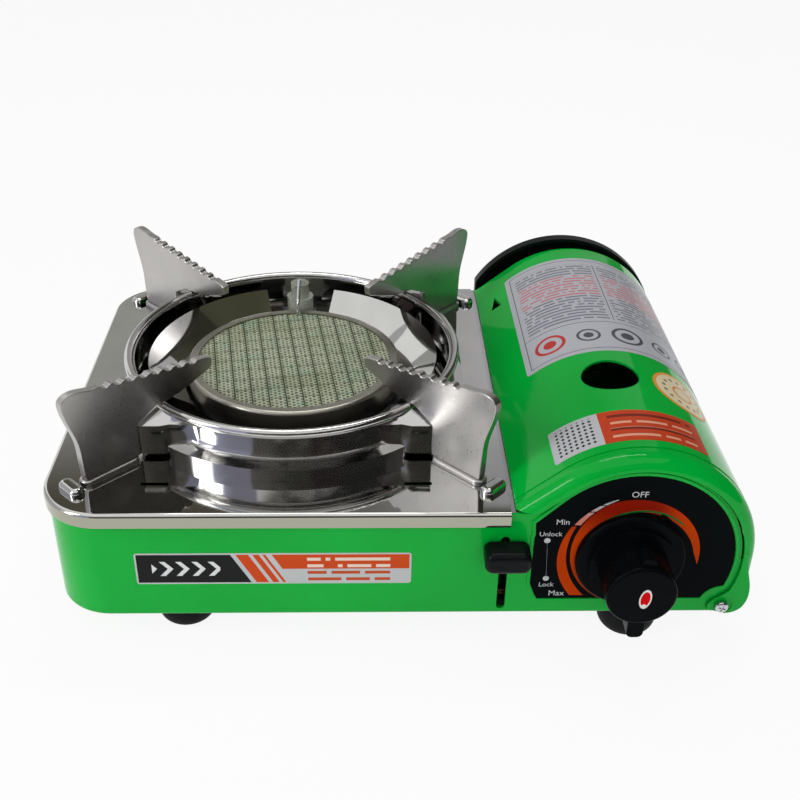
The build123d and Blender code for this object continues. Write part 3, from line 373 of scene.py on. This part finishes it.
def makeDialPrint():
    # black printed plate with two orange crescents round the knob, their orange darkened by painted shade
    # towards the top and left
    finish = makePlastic("dialPrint", paint(7, 11, 13), "dial_print", 0.3, 0.12, paint(20, 24, 27), 0.02)
    x, _, z = finish.mm()
    pairs = {name: pair for name, pair in dialDiscs.items() if name != "horn"}
    both = {name: [finish.disc(x, z, *spot) for spot in pair] for name, pair in pairs.items()}
    horn = finish.disc(x, z, *dialDiscs["horn"]) * (x > 243.4)
    outer, inner = (both[name][0] * both[name][1] for name in ("outer", "inner"))
    crescent = outer * (1 - inner.most(horn))
    second, wedge, edge = (both[name][0] * (1 - both[name][1]) for name in ("second", "wedge", "rim"))
    second = second * finish.band(-42.0, -6.6, z) * (x < 225)
    wedge = wedge * finish.smooth(-6.0, -5.9, z) * (x < 226)
    wedge = wedge * (1 - finish.band(0.2, 0.7, z)) * (1 - finish.band(3.4, 3.8, z))
    edge = edge * finish.smooth(-7, -5, z)
    # painted shade: the orange of the crescents turns deep red towards their top and left
    shade = finish.smooth(-14, 2, z) * (1 - finish.smooth(240, 256, x))
    orange = finish.mix(shade, paint(200, 66, 8), paint(128, 20, 8))
    ink = finish.mix(finish.noise(0.6, 2) * 0.3, orange, paint(168, 44, 6))
    base = finish.shader.inputs["Base Color"].links[0].from_socket
    colour = finish.mix(crescent.most(second), Wire(finish, base), ink)
    colour = finish.mix(edge, colour, paint(22, 104, 44))
    pale = finish.mix(finish.smooth(-3, 4, z), paint(206, 128, 112), paint(176, 176, 176))
    finish.feed("Base Color", finish.mix(wedge, colour, pale))
    return finish


def makeKnobPlastic():
    # black knob with an inlaid red pointer on its cap
    finish = makePlastic("knobPlastic", paint(6, 9, 11), "black_plastic", 0.26, 0.35, paint(26, 30, 33), 0.03)
    x, y, z = finish.mm()
    lean, (middle, level) = radians(pointer["lean"]), pointer["place"]
    right, up = x - middle, z - level
    along, across = up * cos(lean) + right * sin(lean), right * cos(lean) - up * sin(lean)
    far, wide = along / pointer["long"], across / pointer["wide"]
    reach = (far * far + wide * wide) ** 0.5
    cap = y < (dial["cap"] + 0.3)
    rim = (1 - finish.smooth(0.97, 1.0, reach)) * cap
    red = (1 - finish.smooth(0.74, 0.77, reach)) * cap
    dot = finish.disc(along, across, (-3.3, 0), pointer["dot"]) * cap
    base = Wire(finish, finish.shader.inputs["Base Color"].links[0].from_socket)
    colour = finish.mix(rim, base, paint(225, 225, 222))
    colour = finish.mix(red, colour, paint(214, 10, 16))
    finish.feed("Base Color", finish.mix(dot, colour, paint(235, 225, 222)))
    finish.feed("Normal", finish.bump(finish.noise(0.45, 2) * 0.1 - rim, 0.15, 0.5))
    return finish


def makeInk(name, colour, slot):
    # screen printed words and lines
    finish = Finish(name, {"Roughness": 0.45}, slot)
    dim = tuple(0.8 * part for part in colour[:3])
    finish.feed("Base Color", finish.mix(finish.noise(0.5, 2), colour, dim))
    return finish


def dashes(finish, u, v, pitch, height, length, share, start=0.0):
    # rows of short printed rules of uneven length
    row = ((v - start) / pitch).whole()
    place = (u / length + finish.chance(row, 3) * 5).whole()
    full = finish.chance(place, row) < share
    line = finish.band(0.5 * (pitch - height), 0.5 * (pitch + height), (v - start).saw(pitch))
    return line * full


def makeFoil(name, colour, slot):
    # printed foil: thin clear coat, faint wrinkles
    finish = Finish(name, {"Coat Weight": 0.05, "Coat Roughness": 0.12, "Specular IOR Level": 0.14}, slot)
    finish.foil = finish.mix(finish.noise(12, 3) * 0.5, colour, tuple(0.9 * part for part in colour[:3]))
    finish.feed("Normal", finish.bump(finish.noise(5, 2), 0.03, 0.5))
    finish.feed("Roughness", 0.26 + finish.noise(8, 3) * 0.14)
    return finish


# chevrons of the front band, in mm
chevron = {"pitch": 6.4, "wide": 2.2, "low": 4.2, "high": 11.4, "middle": 7.8, "from": 6.5, "to": 33.5}


def makeFrontPrint():
    # band on the front wall: chevrons on black, slanted stripes, two fields with rules
    finish = makeFoil("frontPrint", paint(196, 198, 200), "green_paint")
    u, v, _ = finish.mm("UV")
    slant = u + v * 0.55
    black = (1 - finish.smooth(45.9, 46.1, slant)) * finish.band(0.7, 14.9, v) * (u > 0.7)
    fold = (u + abs(v - chevron["middle"]) * 0.9).saw(chevron["pitch"])
    chevrons = finish.band(0.0, chevron["wide"], fold) * finish.band(chevron["low"], chevron["high"], v)
    chevrons = chevrons * finish.band(chevron["from"], chevron["to"], u)
    stripes = finish.band(48.0, 53.0, slant).most(finish.band(54.6, 57.2, slant))
    stripes = stripes.most(finish.band(58.6, 59.8, slant))
    field = finish.smooth(62.2, 62.4, slant) * (u < 108.6)
    upper = field * finish.band(7.6, 14.9, v)
    rules = field * finish.band(68, 101, u) * finish.band(0.7, 14.2, v)
    rules = rules * dashes(finish, u, v, 3.4, 1.5, 1.9, 0.8, 0.6)
    colour = finish.mix(black, finish.foil, paint(14, 14, 15))
    colour = finish.mix(chevrons, colour, paint(222, 224, 226))
    colour = finish.mix(stripes * finish.band(0.7, 14.9, v), colour, paint(206, 70, 14))
    colour = finish.mix(upper, colour, paint(206, 72, 16))
    colour = finish.mix(rules * (1 - upper), colour, paint(196, 76, 30))
    finish.feed("Base Color", finish.mix(rules * upper, colour, paint(236, 214, 200)))
    return finish


def makeLidPanel():
    # silver foil on the lid: frame line, ruled columns, a row of plain round marks
    finish = makeFoil("lidPanel", paint(182, 183, 190), "green_paint")
    u, v, _ = finish.mm("UV")
    inside = finish.band(3.0, 93.0, u) * finish.band(3.0, 94.0, v)
    border = finish.band(2.6, 93.4, u) * finish.band(2.6, 94.4, v) * (1 - inside)
    gutter = finish.band(46.4, 46.8, u) * finish.band(30, 90, v)
    shelf = finish.band(27.2, 27.6, v) * finish.band(3, 93, u)
    column = (u < 45.0).most(u > 48.4) * finish.band(5.6, 90.5, u)
    bold = (v / 11.2).whole()
    rows = dashes(finish, u, v, 2.8, 1.25, 1.5, 0.78, 30.0) * column * finish.band(30.0, 89.8, v)
    head = finish.chance(bold, 7) < 0.36
    marks = 0
    for place, radius in ((14, 7.5), (32, 5.5), (50, 7.5), (68, 5.5), (84, 6.5)):
        ring = finish.disc(u, v, (place, 15), radius) * (1 - finish.disc(u, v, (place, 15), radius * 0.78))
        core = finish.disc(u, v, (place, 15), radius * 0.42)
        marks = ring.most(core).most(marks)
    tone = finish.mix(head, paint(92, 94, 108), paint(196, 84, 92))
    colour = finish.mix(border.most(gutter).most(shelf), finish.foil, paint(64, 66, 74))
    colour = finish.mix(rows * 0.8, colour, tone)
    colour = finish.mix(marks, colour, finish.mix(u < 23, paint(74, 76, 84), paint(188, 52, 50)))
    finish.feed("Base Color", colour)
    return finish


def makeOrangePrint():
    # orange foil with rules, and a silver square of small lozenges at its left end
    finish = makeFoil("orangePrint", paint(188, 190, 192), "green_paint")
    u, v, _ = finish.mm("UV")
    orange = finish.smooth(21.4, 21.5, u)
    lozenge = abs((u + 0.2).saw(2.4) - 1.2) + abs((v + 0.4).saw(2.4) - 1.2)
    cells = (1 - finish.smooth(0.78, 0.86, lozenge)) * finish.band(2.0, 19.6, u) * finish.band(2.0, 19.8, v)
    rules = dashes(finish, u, v, 4.6, 1.9, 2.1, 0.8, 1.6) * finish.band(25, 60, u) * finish.band(1.6, 20.0, v)
    dark = finish.chance((v / 4.6).whole(), 5) < 0.55
    colour = finish.mix(cells, finish.foil, paint(18, 20, 24))
    ground = finish.mix(finish.noise(9, 3), paint(200, 66, 22), paint(184, 54, 18))
    colour = finish.mix(orange, colour, ground)
    ink = finish.mix(dark, paint(232, 168, 136), paint(96, 26, 14))
    finish.feed("Base Color", finish.mix(rules * orange * 0.85, colour, ink))
    return finish


def makeRoundPrint():
    # round seal: orange rim, pale middle with a ring of dots and a plain spot
    finish = makeFoil("roundPrint", paint(226, 214, 176), "green_paint")
    u, v, _ = finish.mm("UV")
    rim = 1 - finish.disc(u, v, (20, 20), 13.2)
    angle = (v - 20).angle(u - 20)
    far = ((u - 20) * (u - 20) + (v - 20) * (v - 20)) ** 0.5
    dots = finish.disc((angle + pi).saw(pi / 7) * 9.6, far, (pi / 14 * 9.6, 9.6), 1.0)
    colour = finish.mix(rim, finish.foil, paint(232, 150, 60))
    colour = finish.mix(dots, colour, paint(150, 112, 70))
    spot = finish.disc(u, v, (20, 20), 5.4) * (1 - finish.disc(u, v, (20, 20), 4.2))
    finish.feed("Base Color", finish.mix(spot, colour, paint(222, 132, 52)))
    return finish


panSteel = makePanSteel()
glaze = makeGlaze()
dialPrint = makeDialPrint()
finishOf = {"green_paint": greenGloss, "dial_print": dialPrint, "polished_steel": mirrorSteel,
            "satin_steel": satinSteel, "dark_steel": panSteel, "cast_aluminium": castAluminium,
            "white_ceramic": glaze, "zinc_steel": zincSteel, "yellow_brass": brass,
            "black_plastic": blackPlastic, "black_rubber": blackRubber, "copper_pipe": copper,
            "pale_ceramic": glaze}
print("finishes made")


def addPiece(name, mesh, body, finish, replaced=()):
    piece = bpy.data.objects.new(name, mesh)
    bpy.context.scene.collection.objects.link(piece)
    if not mesh.materials:
        mesh.materials.append(finish.material)
    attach(piece, body)
    if replaced:
        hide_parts(*replaced)
    return piece


def meshFrom(work, name, sharpAngle=35):
    # smooth faces, with hard edges where the surface turns by more than the angle
    for face in work.faces:
        face.smooth = True
    for edge in work.edges:
        edge.smooth = len(edge.link_faces) == 2 and edge.calc_face_angle(0) < radians(sharpAngle)
    mesh = bpy.data.meshes.new(name)
    work.to_mesh(mesh)
    work.free()
    if "custom_normal" in mesh.attributes:
        mesh.attributes.remove(mesh.attributes["custom_normal"])
    mesh.validate()
    return mesh


def refine(node, finish=None, bevel=0.0, steps=2, sharpAngle=32, weighted=True):
    # closed copy of a CAD piece, with eased edges
    source = nodes[node]
    work = bmesh.new()
    work.from_mesh(source.data)
    bmesh.ops.remove_doubles(work, verts=work.verts, dist=2e-6)
    if bevel:
        bmesh.ops.dissolve_limit(work, angle_limit=radians(0.4), verts=work.verts, edges=work.edges)
    mesh = meshFrom(work, node + "_body", sharpAngle)
    mesh.materials.clear()
    piece = addPiece(node + "_shape", mesh, bodyOf[node], finish or finishOf[slotOf[node]], (node,))
    if bevel:
        ease = piece.modifiers.new("ease", "BEVEL")
        ease.width, ease.segments, ease.limit_method = bevel / 1000, steps, "ANGLE"
        ease.angle_limit, ease.miter_outer, ease.harden_normals = radians(28), "MITER_ARC", False
        ease.use_clamp_overlap = True
    if weighted:
        even = piece.modifiers.new("even", "WEIGHTED_NORMAL")
        even.keep_sharp = True
    return piece


for name, node in nodes.items():
    node.data.materials.clear()
    node.data.materials.append(finishOf[slotOf[name]].material)

for name in ("lower_case", "top_plate", "lid", "wind_ring", "dial_plate", "burner_pan", "burner_cup",
             "reflector_left", "reflector_right", "rear_cover", "gas_pipe"):
    refine(name, {"wind_ring": ringSteel, "top_plate": plateSteel}.get(name))
refine("control_knob", makeKnobPlastic(), 0.5, 3)
refine("lock_lever_knob", None, 0.5, 3)
refine("ceramic_frame", rolledSteel)
for name in nodes:
    if name.startswith(("pot_support", "support_bar")):
        refine(name, None, 0.35, 2)
    elif name.startswith("foot"):
        refine(name, None, 0.6, 3)

# cross-head screws: the head's side, and the places of the heads in mm (x and z)
screwHeads = {"hinge_screw_front": ("front", ((274.5, -47.0),)),
              "hinge_screw_rear": ("back", ((274.5, -47.0),)),
              "rear_cover_screws": ("back", ((194.0, -41.0), (261.5, -45.0))),
              "plate_screws": ("back", ((60.0, -3.6), (130.0, -3.6)))}
cross = {"reach": 3.1, "width": 0.62, "depth": 0.9, "turn": 18}


def cutCross(node, side, places):
    low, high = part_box(node)
    work = bmesh.new()
    for x, z in places:
        seat = at(x, 0, z)
        seat.y = low[1] if side == "front" else high[1]
        for turn in (cross["turn"], cross["turn"] + 90):
            bar = Matrix.Diagonal([cross[key] / 1000 for key in ("reach", "depth", "width")] + [1])
            spin = Matrix.Rotation(radians(turn), 4, "Y")
            bmesh.ops.create_cube(work, size=1, matrix=Matrix.Translation(seat) @ spin @ bar)
    tool = bpy.data.objects.new(node + "_cross", bpy.data.meshes.new(node + "_cross"))
    work.to_mesh(tool.data)
    work.free()
    bpy.context.scene.collection.objects.link(tool)
    piece = refine(node, weighted=False)
    cut = piece.modifiers.new("cross", "BOOLEAN")
    cut.object, cut.operation, cut.solver, cut.use_self = tool, "DIFFERENCE", "EXACT", True
    bpy.context.view_layer.update()
    ready = bpy.data.meshes.new_from_object(piece.evaluated_get(bpy.context.evaluated_depsgraph_get()))
    piece.modifiers.clear()
    piece.data = ready
    bpy.data.objects.remove(tool)


for name, (side, places) in screwHeads.items():
    cutCross(name, side, places)
print("case, ring and knobs shaped")


ceramic = {"centre": (96.0, 99.5), "top": 12.6, "depth": 2.2, "radius": 44.6, "across": 1.8, "along": 2.2,
           "hole": 0.7, "cell": 4, "turn": 8.5}


def makeCeramic():
    finish = Finish("ceramicCells", {"Roughness": 0.85, "Specular IOR Level": 0.3}, "pale_ceramic")
    where = finish.make("Mapping", {"vector_type": "POINT"},
                        {"Vector": finish.coordinates(), "Rotation": (0, 0, radians(-ceramic["turn"]))})
    big = finish.make("VectorMath", {"operation": "SCALE"}, {0: where, "Scale": 1000})
    u, v = (finish.make("SeparateXYZ", {}, {0: big}, axis) for axis in "XY")
    z = finish.mm()[2]
    # painted shade: below the plate's top the hole walls and floors are coloured near black
    deep = 1 - finish.smooth(ceramic["top"] - 1.0, ceramic["top"] - 0.1, z)
    across, along = ceramic["across"], ceramic["along"]
    groove = finish.band(0.1, 0.75, (u + 0.4 + across / 2).saw(across * ceramic["cell"]))
    cross = finish.band(0.1, 0.6, (v + 0.35 + along / 2).saw(along * ceramic["cell"])) * 0.8
    patch = finish.chance((u / across + 0.5).whole(), (v / along * 2).whole())
    tint = finish.smooth(0.5, 0.68, finish.noise(13, 2))
    heat = finish.smooth(0.45, 0.7, finish.noise(24, 3))
    body = finish.mix(heat, paint(190, 195, 170), paint(169, 174, 146))
    body = finish.mix(tint * 0.55, body, paint(162, 195, 166))
    grit = finish.noise(0.5, 3)
    body = finish.mix(grit * 0.35, body, paint(140, 144, 122))
    body = finish.mix(patch * 0.4, body, paint(112, 118, 92))
    body = finish.mix(groove.most(cross), body, paint(62, 72, 52))
    # the holes get their painted shade here
    finish.feed("Base Color", finish.mix(deep, body, paint(8, 10, 7)))
    finish.feed("Normal", finish.bump(grit, 0.06, 0.6))
    return finish


def holeTile(across, along, radius, depth):
    # one oblong of the plate with its hole, a shallow step at the rim
    work = bmesh.new()
    wide, long = across / 2, along / 2
    spots = [(wide, 0), (wide, long), (0, long), (-wide, long),
             (-wide, 0), (-wide, -long), (0, -long), (wide, -long)]
    outer = [work.verts.new((x, y, 0)) for x, y in spots]
    rings = []
    for share, drop in ((1.0, 0.0), (0.94, 0.12 * depth), (0.9, depth)):
        reach = radius * share
        rings.append([work.verts.new((reach * cos(k * pi / 4), reach * sin(k * pi / 4), -drop))
                      for k in range(8)])
    for low, high in zip([outer, *rings], rings):
        for k in range(8):
            work.faces.new((low[k], low[k - 7], high[k - 7], high[k]))
    work.faces.new(rings[-1])
    mesh = bpy.data.meshes.new("holeTile")
    work.to_mesh(mesh)
    work.free()
    return bpy.data.objects.new("holeTile", mesh)


class Tree:
    # a Geometry Nodes group with named inputs
    def __init__(self, name, inputs):
        self.group = bpy.data.node_groups.new(name, "GeometryNodeTree")
        self.sockets = {}
        self.group.interface.new_socket("Geometry", in_out="OUTPUT", socket_type="NodeSocketGeometry")
        for label, (kind, value) in inputs.items():
            socket = self.group.interface.new_socket(label, in_out="INPUT", socket_type="NodeSocket" + kind)
            if value is not None and kind not in ("Object", "Material", "Geometry"):
                socket.default_value = value
            self.sockets[label] = (socket.identifier, value)
        self.entry = self.group.nodes.new("NodeGroupInput")
        self.exit = self.group.nodes.new("NodeGroupOutput")

    def make(self, kind, settings, sockets, out=0):
        node = self.group.nodes.new(kind)
        for name, value in settings.items():
            setattr(node, name, value)
        for name, value in sockets.items():
            if isinstance(value, bpy.types.NodeSocket):
                self.group.links.new(value, node.inputs[name])
            else:
                node.inputs[name].default_value = value
        return node.outputs[out]

    def sum(self, operation, *terms):
        return self.make("ShaderNodeMath", {"operation": operation}, dict(enumerate(terms)))

    def end(self, geometry, material):
        whole = self.make("GeometryNodeRealizeInstances", {}, {0: geometry})
        whole = self.make("GeometryNodeSetMaterial", {}, {0: whole, "Material": material})
        self.group.links.new(whole, self.exit.inputs[0])

    def grow(self, name, body, finish, replaced=(), sharpAngle=35):
        # runs the group on an empty mesh and keeps the result as a plain mesh
        seed = bpy.data.objects.new(name + "_seed", bpy.data.meshes.new(name + "_seed"))
        bpy.context.scene.collection.objects.link(seed)
        made = seed.modifiers.new("grow", "NODES")
        made.node_group = self.group
        for identifier, value in self.sockets.values():
            if value is not None:
                made[identifier] = value
        bpy.context.view_layer.update()
        ready = seed.evaluated_get(bpy.context.evaluated_depsgraph_get())
        mesh = bpy.data.meshes.new_from_object(ready)
        seed.modifiers.remove(made)
        bpy.data.objects.remove(seed)
        work = bmesh.new()
        work.from_mesh(mesh)
        bmesh.ops.remove_doubles(work, verts=work.verts, dist=1e-6)
        for face in work.faces:
            face.material_index = 0
        mesh = meshFrom(work, name, sharpAngle)
        return addPiece(name, mesh, body, finish, replaced)


def closeBelow(piece, bottom):
    # walls from the open rim down to a flat underside
    work = bmesh.new()
    work.from_mesh(piece.data)
    rim = [edge for edge in work.edges if len(edge.link_faces) == 1]
    made = bmesh.ops.extrude_edge_only(work, edges=rim)["geom"]
    low = {part for part in made if isinstance(part, bmesh.types.BMVert)}
    for vertex in low:
        vertex.co.z = bottom
    loop = [part for part in made if isinstance(part, bmesh.types.BMEdge) and low.issuperset(part.verts)]
    bmesh.ops.edgeloop_fill(work, edges=loop)
    bmesh.ops.recalc_face_normals(work, faces=work.faces)
    for edge in rim + loop:
        edge.smooth = False
    work.to_mesh(piece.data)
    work.free()


def growCeramic(sizes, finish):
    # columns of tiles, every other one pushed on by half a tile
    across, along = sizes["across"] / 1000, sizes["along"] / 1000
    tile = holeTile(across, along, sizes["hole"] / 1000, sizes["depth"] / 1000)
    tree = Tree("perforatedPlate", {"Tile": ("Object", tile), "Across": ("Float", across),
                                    "Along": ("Float", along), "Radius": ("Float", sizes["radius"] / 1000),
                                    "Turn": ("Float", radians(sizes["turn"]))})
    entry = tree.entry.outputs
    count = 2 * int(sizes["radius"] / sizes["across"]) + 3
    spans = [tree.sum("MULTIPLY", entry[name], count - 1) for name in ("Across", "Along")]
    grid = tree.make("GeometryNodeMeshGrid", {}, {"Size X": spans[0], "Size Y": spans[1],
                                                  "Vertices X": count, "Vertices Y": count})
    place = tree.make("GeometryNodeInputPosition", {}, {})
    right = tree.make("ShaderNodeSeparateXYZ", {}, {0: place})
    column = tree.sum("ROUND", tree.sum("DIVIDE", right, entry["Across"]))
    odd = tree.sum("PINGPONG", column, 1.0)
    push = tree.sum("MULTIPLY", tree.sum("MULTIPLY", odd, entry["Along"]), 0.5)
    shifted = tree.make("GeometryNodeSetPosition", {}, {
        "Geometry": grid, "Offset": tree.make("ShaderNodeCombineXYZ", {}, {"Y": push})})
    tiles = tree.make("GeometryNodeObjectInfo", {}, {"Object": entry["Tile"]}, "Geometry")
    laid = tree.make("GeometryNodeInstanceOnPoints", {}, {"Points": shifted, "Instance": tiles})
    flat = tree.make("GeometryNodeRealizeInstances", {}, {0: laid})
    far = tree.make("ShaderNodeVectorMath", {"operation": "LENGTH"}, {0: place}, "Value")
    outside = tree.make("FunctionNodeCompare", {"operation": "GREATER_THAN"}, {0: far, 1: entry["Radius"]})
    trimmed = tree.make("GeometryNodeDeleteGeometry", {"domain": "FACE"},
                        {"Geometry": flat, "Selection": outside})
    turn = tree.make("ShaderNodeCombineXYZ", {}, {"Z": entry["Turn"]})
    seated = tree.make("GeometryNodeTransform", {}, {"Geometry": trimmed, "Rotation": turn,
                                                     "Translation": at(*sizes["centre"], sizes["top"])})
    tree.end(seated, finish.material)
    plate = tree.grow("burner_holes", bodyOf["ceramic_plate"], finish, ("ceramic_plate",))
    closeBelow(plate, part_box("ceramic_plate")[0][2])
    return plate


ceramicCells = makeCeramic()
growCeramic(ceramic, ceramicCells)
print("burner plate perforated")


# printed foils, in mm: start and near are where the foil's lower left corner lies
foil = 0.12
frontBand = {"size": (109.4, 15.6), "rounding": 1.2, "columns": 2,
             "start": 37.3, "height": -35.3, "wall": 1.4}
lidPanel = {"size": (96.0, 97.0), "rounding": 1.4, "columns": 72, "start": -4.8, "near": 84.5}
lidStrip = {"size": (64.4, 21.6), "rounding": 1.0, "columns": 48, "start": -2.3, "near": 14.0}
lidSeal = {"radius": 14.8, "middle": 20, "start": 43.5, "near": 41.0}


def onFront(u, v):
    return at(frontBand["start"] + u, frontBand["wall"], frontBand["height"] + v)


def onLid(start, near):
    # follows the lid over its arch: u from the tangent point at the left, v backwards
    def place(u, v):
        run = start + u
        turn = radians(90 + arch["slope"]) - max(run, 0) / arch["radius"]
        x = arch["axis"][0] + arch["radius"] * cos(turn)
        z = arch["axis"][1] + arch["radius"] * sin(turn)
        slope = radians(arch["slope"])
        return at(x + min(run, 0) * cos(slope), near + v, z + min(run, 0) * sin(slope))
    return place


def addSheet(name, body, finish, rows, place):
    # printed foil from rows of (u, v) in mm, bent onto the object by place(u, v)
    work = bmesh.new()
    layer = work.loops.layers.uv.new("UVMap")
    grid = [[(work.verts.new(place(u, v)), u, v) for u, v in row] for row in rows]
    for low, high in zip(grid, grid[1:]):
        for k in range(len(low) - 1):
            patch = [low[k], low[k + 1], high[k + 1], high[k]]
            face = work.faces.new([spot[0] for spot in patch])
            for loop, spot in zip(face.loops, patch):
                loop[layer].uv = (spot[1] / 1000, spot[2] / 1000)
    piece = addPiece(name, meshFrom(work, name), body, finish)
    thick = piece.modifiers.new("foil", "SOLIDIFY")
    thick.thickness, thick.offset = foil / 1000, 1
    return piece


def cardRows(sizes):
    # rectangle with rounded corners
    (width, height), rounding, columns = sizes["size"], sizes["rounding"], sizes["columns"]
    lows = [rounding * (1 - cos(step * pi / 10)) for step in range(6)]
    rows = []
    for v in lows + [height - low for low in reversed(lows)]:
        short = rounding - min(v, height - v, rounding)
        inset = rounding - sqrt(rounding * rounding - short * short)
        rows.append([(inset + (width - 2 * inset) * k / columns, v) for k in range(columns + 1)])
    return rows


def discRows(radius, centre, columns=24, count=20):
    rows = []
    for step in range(count + 1):
        v = -radius * cos(step * pi / count) * 0.9995
        half = sqrt(radius * radius - v * v)
        rows.append([(centre + half * (2 * k / columns - 1), centre + v) for k in range(columns + 1)])
    return rows


addSheet("front_band", "base", makeFrontPrint(), cardRows(frontBand), onFront)
addSheet("lid_panel", "lid", makeLidPanel(), cardRows(lidPanel), onLid(lidPanel["start"], lidPanel["near"]))
addSheet("lid_strip", "lid", makeOrangePrint(), cardRows(lidStrip),
         onLid(lidStrip["start"], lidStrip["near"]))
addSheet("lid_seal", "lid", makeRoundPrint(), discRows(lidSeal["radius"], lidSeal["middle"]),
         onLid(lidSeal["start"], lidSeal["near"]))
print("printed sheets laid")

# words, dots and line of the dial: text, centre x and z, capital height, all in mm
dialWords = (("OFF", 234.0, 8.7, 2.7), ("Min", 205.4, -4.5, 2.6), ("Unlock", 201.1, -10.4, 2.2),
             ("Lock", 201.4, -36.3, 2.2), ("Max", 205.9, -40.9, 2.7))
leverMarks = ((200.0, -13.6), (201.1, -33.0))


def addDialWords(words, marks, finish):
    work = bmesh.new()
    plane, upright = dial["face"] - dial["sunk"], Matrix.Rotation(pi / 2, 4, "X")
    ink, dot, line = (dial[key] / 1000 for key in ("ink", "dot", "line"))
    for text, x, z, height in words:
        letters = bpy.data.curves.new(text, "FONT")
        letters.body, letters.size = text, height / 0.7 / 1000
        letters.align_x, letters.align_y = "CENTER", "CENTER"
        letters.extrude, letters.resolution_u = ink / 2, 4
        label = bpy.data.objects.new(text, letters)
        label.matrix_world = Matrix.Translation(at(x, plane, z)) @ upright
        bpy.context.scene.collection.objects.link(label)
        bpy.context.view_layer.update()
        ready = label.evaluated_get(bpy.context.evaluated_depsgraph_get())
        flat = bpy.data.meshes.new_from_object(ready)
        flat.transform(label.matrix_world)
        work.from_mesh(flat)
        bpy.data.objects.remove(label)
    for x, z in marks:
        bmesh.ops.create_cone(work, cap_ends=True, segments=28, radius1=dot, radius2=dot, depth=ink,
                              matrix=Matrix.Translation(at(x, plane, z)) @ upright)
    start, end = (at(x, plane, z) for x, z in marks)
    lean = Matrix.Translation((start + end) / 2) @ (end - start).to_track_quat("Z", "Y").to_matrix().to_4x4()
    bar = Matrix.Diagonal((line, ink, (end - start).length, 1))
    bmesh.ops.create_cube(work, size=1, matrix=lean @ bar)
    bmesh.ops.remove_doubles(work, verts=work.verts, dist=1e-7)
    mesh = meshFrom(work, "dial_words")
    mesh.materials.clear()
    return addPiece("dial_words", mesh, "base", finish)


addDialWords(dialWords, leverMarks, makeInk("paleInk", paint(205, 208, 210), "dial_print"))
print("dial printed")


def makeWorld():
    world = bpy.data.worlds.new("surroundings")
    world.use_nodes = True
    tree = world.node_tree
    back = tree.nodes["Background"]
    path = tree.nodes.new("ShaderNodeLightPath")
    seen = tree.nodes.new("ShaderNodeMath")
    seen.operation = "MAXIMUM"
    tree.links.new(path.outputs["Is Camera Ray"], seen.inputs[0])
    both = tree.nodes.new("ShaderNodeMath")
    both.operation = "MAXIMUM"
    tree.links.new(path.outputs["Is Glossy Ray"], both.inputs[0])
    tree.links.new(path.outputs["Is Transmission Ray"], both.inputs[1])
    tree.links.new(both.outputs[0], seen.inputs[1])
    level = tree.nodes.new("ShaderNodeMapRange")
    tree.links.new(seen.outputs[0], level.inputs[0])
    level.inputs[3].default_value = studio["world"]
    level.inputs[4].default_value = 1.0
    tree.links.new(level.outputs[0], back.inputs["Strength"])
    back.inputs["Color"].default_value = (1, 1, 1, 1)
    bpy.context.scene.world = world


def addCard(name, place, width, height, lean, turn, lowLeft, lowRight, highLeft, highRight):
    # a board with a drift of light, seen only in reflections
    finish = Finish(name, {})
    along = finish.make("TexCoord", {}, {}, "UV")
    u, v = (finish.make("SeparateXYZ", {}, {0: along}, axis) for axis in "XY")
    right, rise = finish.smooth(0.42, 0.74, u), finish.smooth(0.63, 0.80, v)
    tone = finish.mix(rise, finish.mix(right, lowLeft, lowRight), finish.mix(right, highLeft, highRight))
    glow = finish.make("Emission", {}, {"Color": tone, "Strength": 1.0})
    finish.tree.links.new(glow.socket, finish.tree.nodes["Material Output"].inputs["Surface"])
    mesh = bpy.data.meshes.new(name)
    half, rise = width / 2000, height / 2000
    corners = [(-half, 0, -rise), (half, 0, -rise), (half, 0, rise), (-half, 0, rise)]
    mesh.from_pydata(corners, [], [(0, 1, 2, 3)])
    layer = mesh.uv_layers.new(name="UVMap")
    for loop, uv in zip(layer.data, ((0, 0), (1, 0), (1, 1), (0, 1))):
        loop.uv = uv
    mesh.materials.append(finish.material)
    card = bpy.data.objects.new(name, mesh)
    card.matrix_world = (Matrix.Translation(at(*place)) @ Matrix.Rotation(radians(turn), 4, "Z")
                         @ Matrix.Rotation(radians(lean), 4, "X"))
    card.visible_camera = card.visible_diffuse = card.visible_shadow = card.visible_transmission = False
    bpy.context.scene.collection.objects.link(card)


def addFloor():
    finish = Finish("floorPaper", {"Roughness": 0.9, "Base Color": (0.96, 0.96, 0.96, 1)})
    rays = ("Is Camera Ray", "Is Glossy Ray", "Is Transmission Ray")
    path = [finish.make("LightPath", {}, {}, name) for name in rays]
    seen = path[0].most(path[1]).most(path[2])
    glow = finish.make("Emission", {}, {"Color": (1, 1, 1, 1), "Strength": 1.0})
    paper = Wire(finish, finish.shader.outputs[0])
    blend = finish.make("MixShader", {}, {0: seen * 0.9, 1: paper, 2: glow})
    finish.tree.links.new(blend.socket, finish.tree.nodes["Material Output"].inputs["Surface"])
    mesh = bpy.data.meshes.new("floor")
    reach = 6
    corners = [(-reach, -reach, 0), (reach, -reach, 0), (reach, reach, 0), (-reach, reach, 0)]
    mesh.from_pydata(corners, [], [(0, 1, 2, 3)])
    mesh.materials.append(finish.material)
    floor = bpy.data.objects.new("floor", mesh)
    bpy.context.scene.collection.objects.link(floor)


makeWorld()
addFloor()
for card in studio["cards"]:
    addCard(*card)
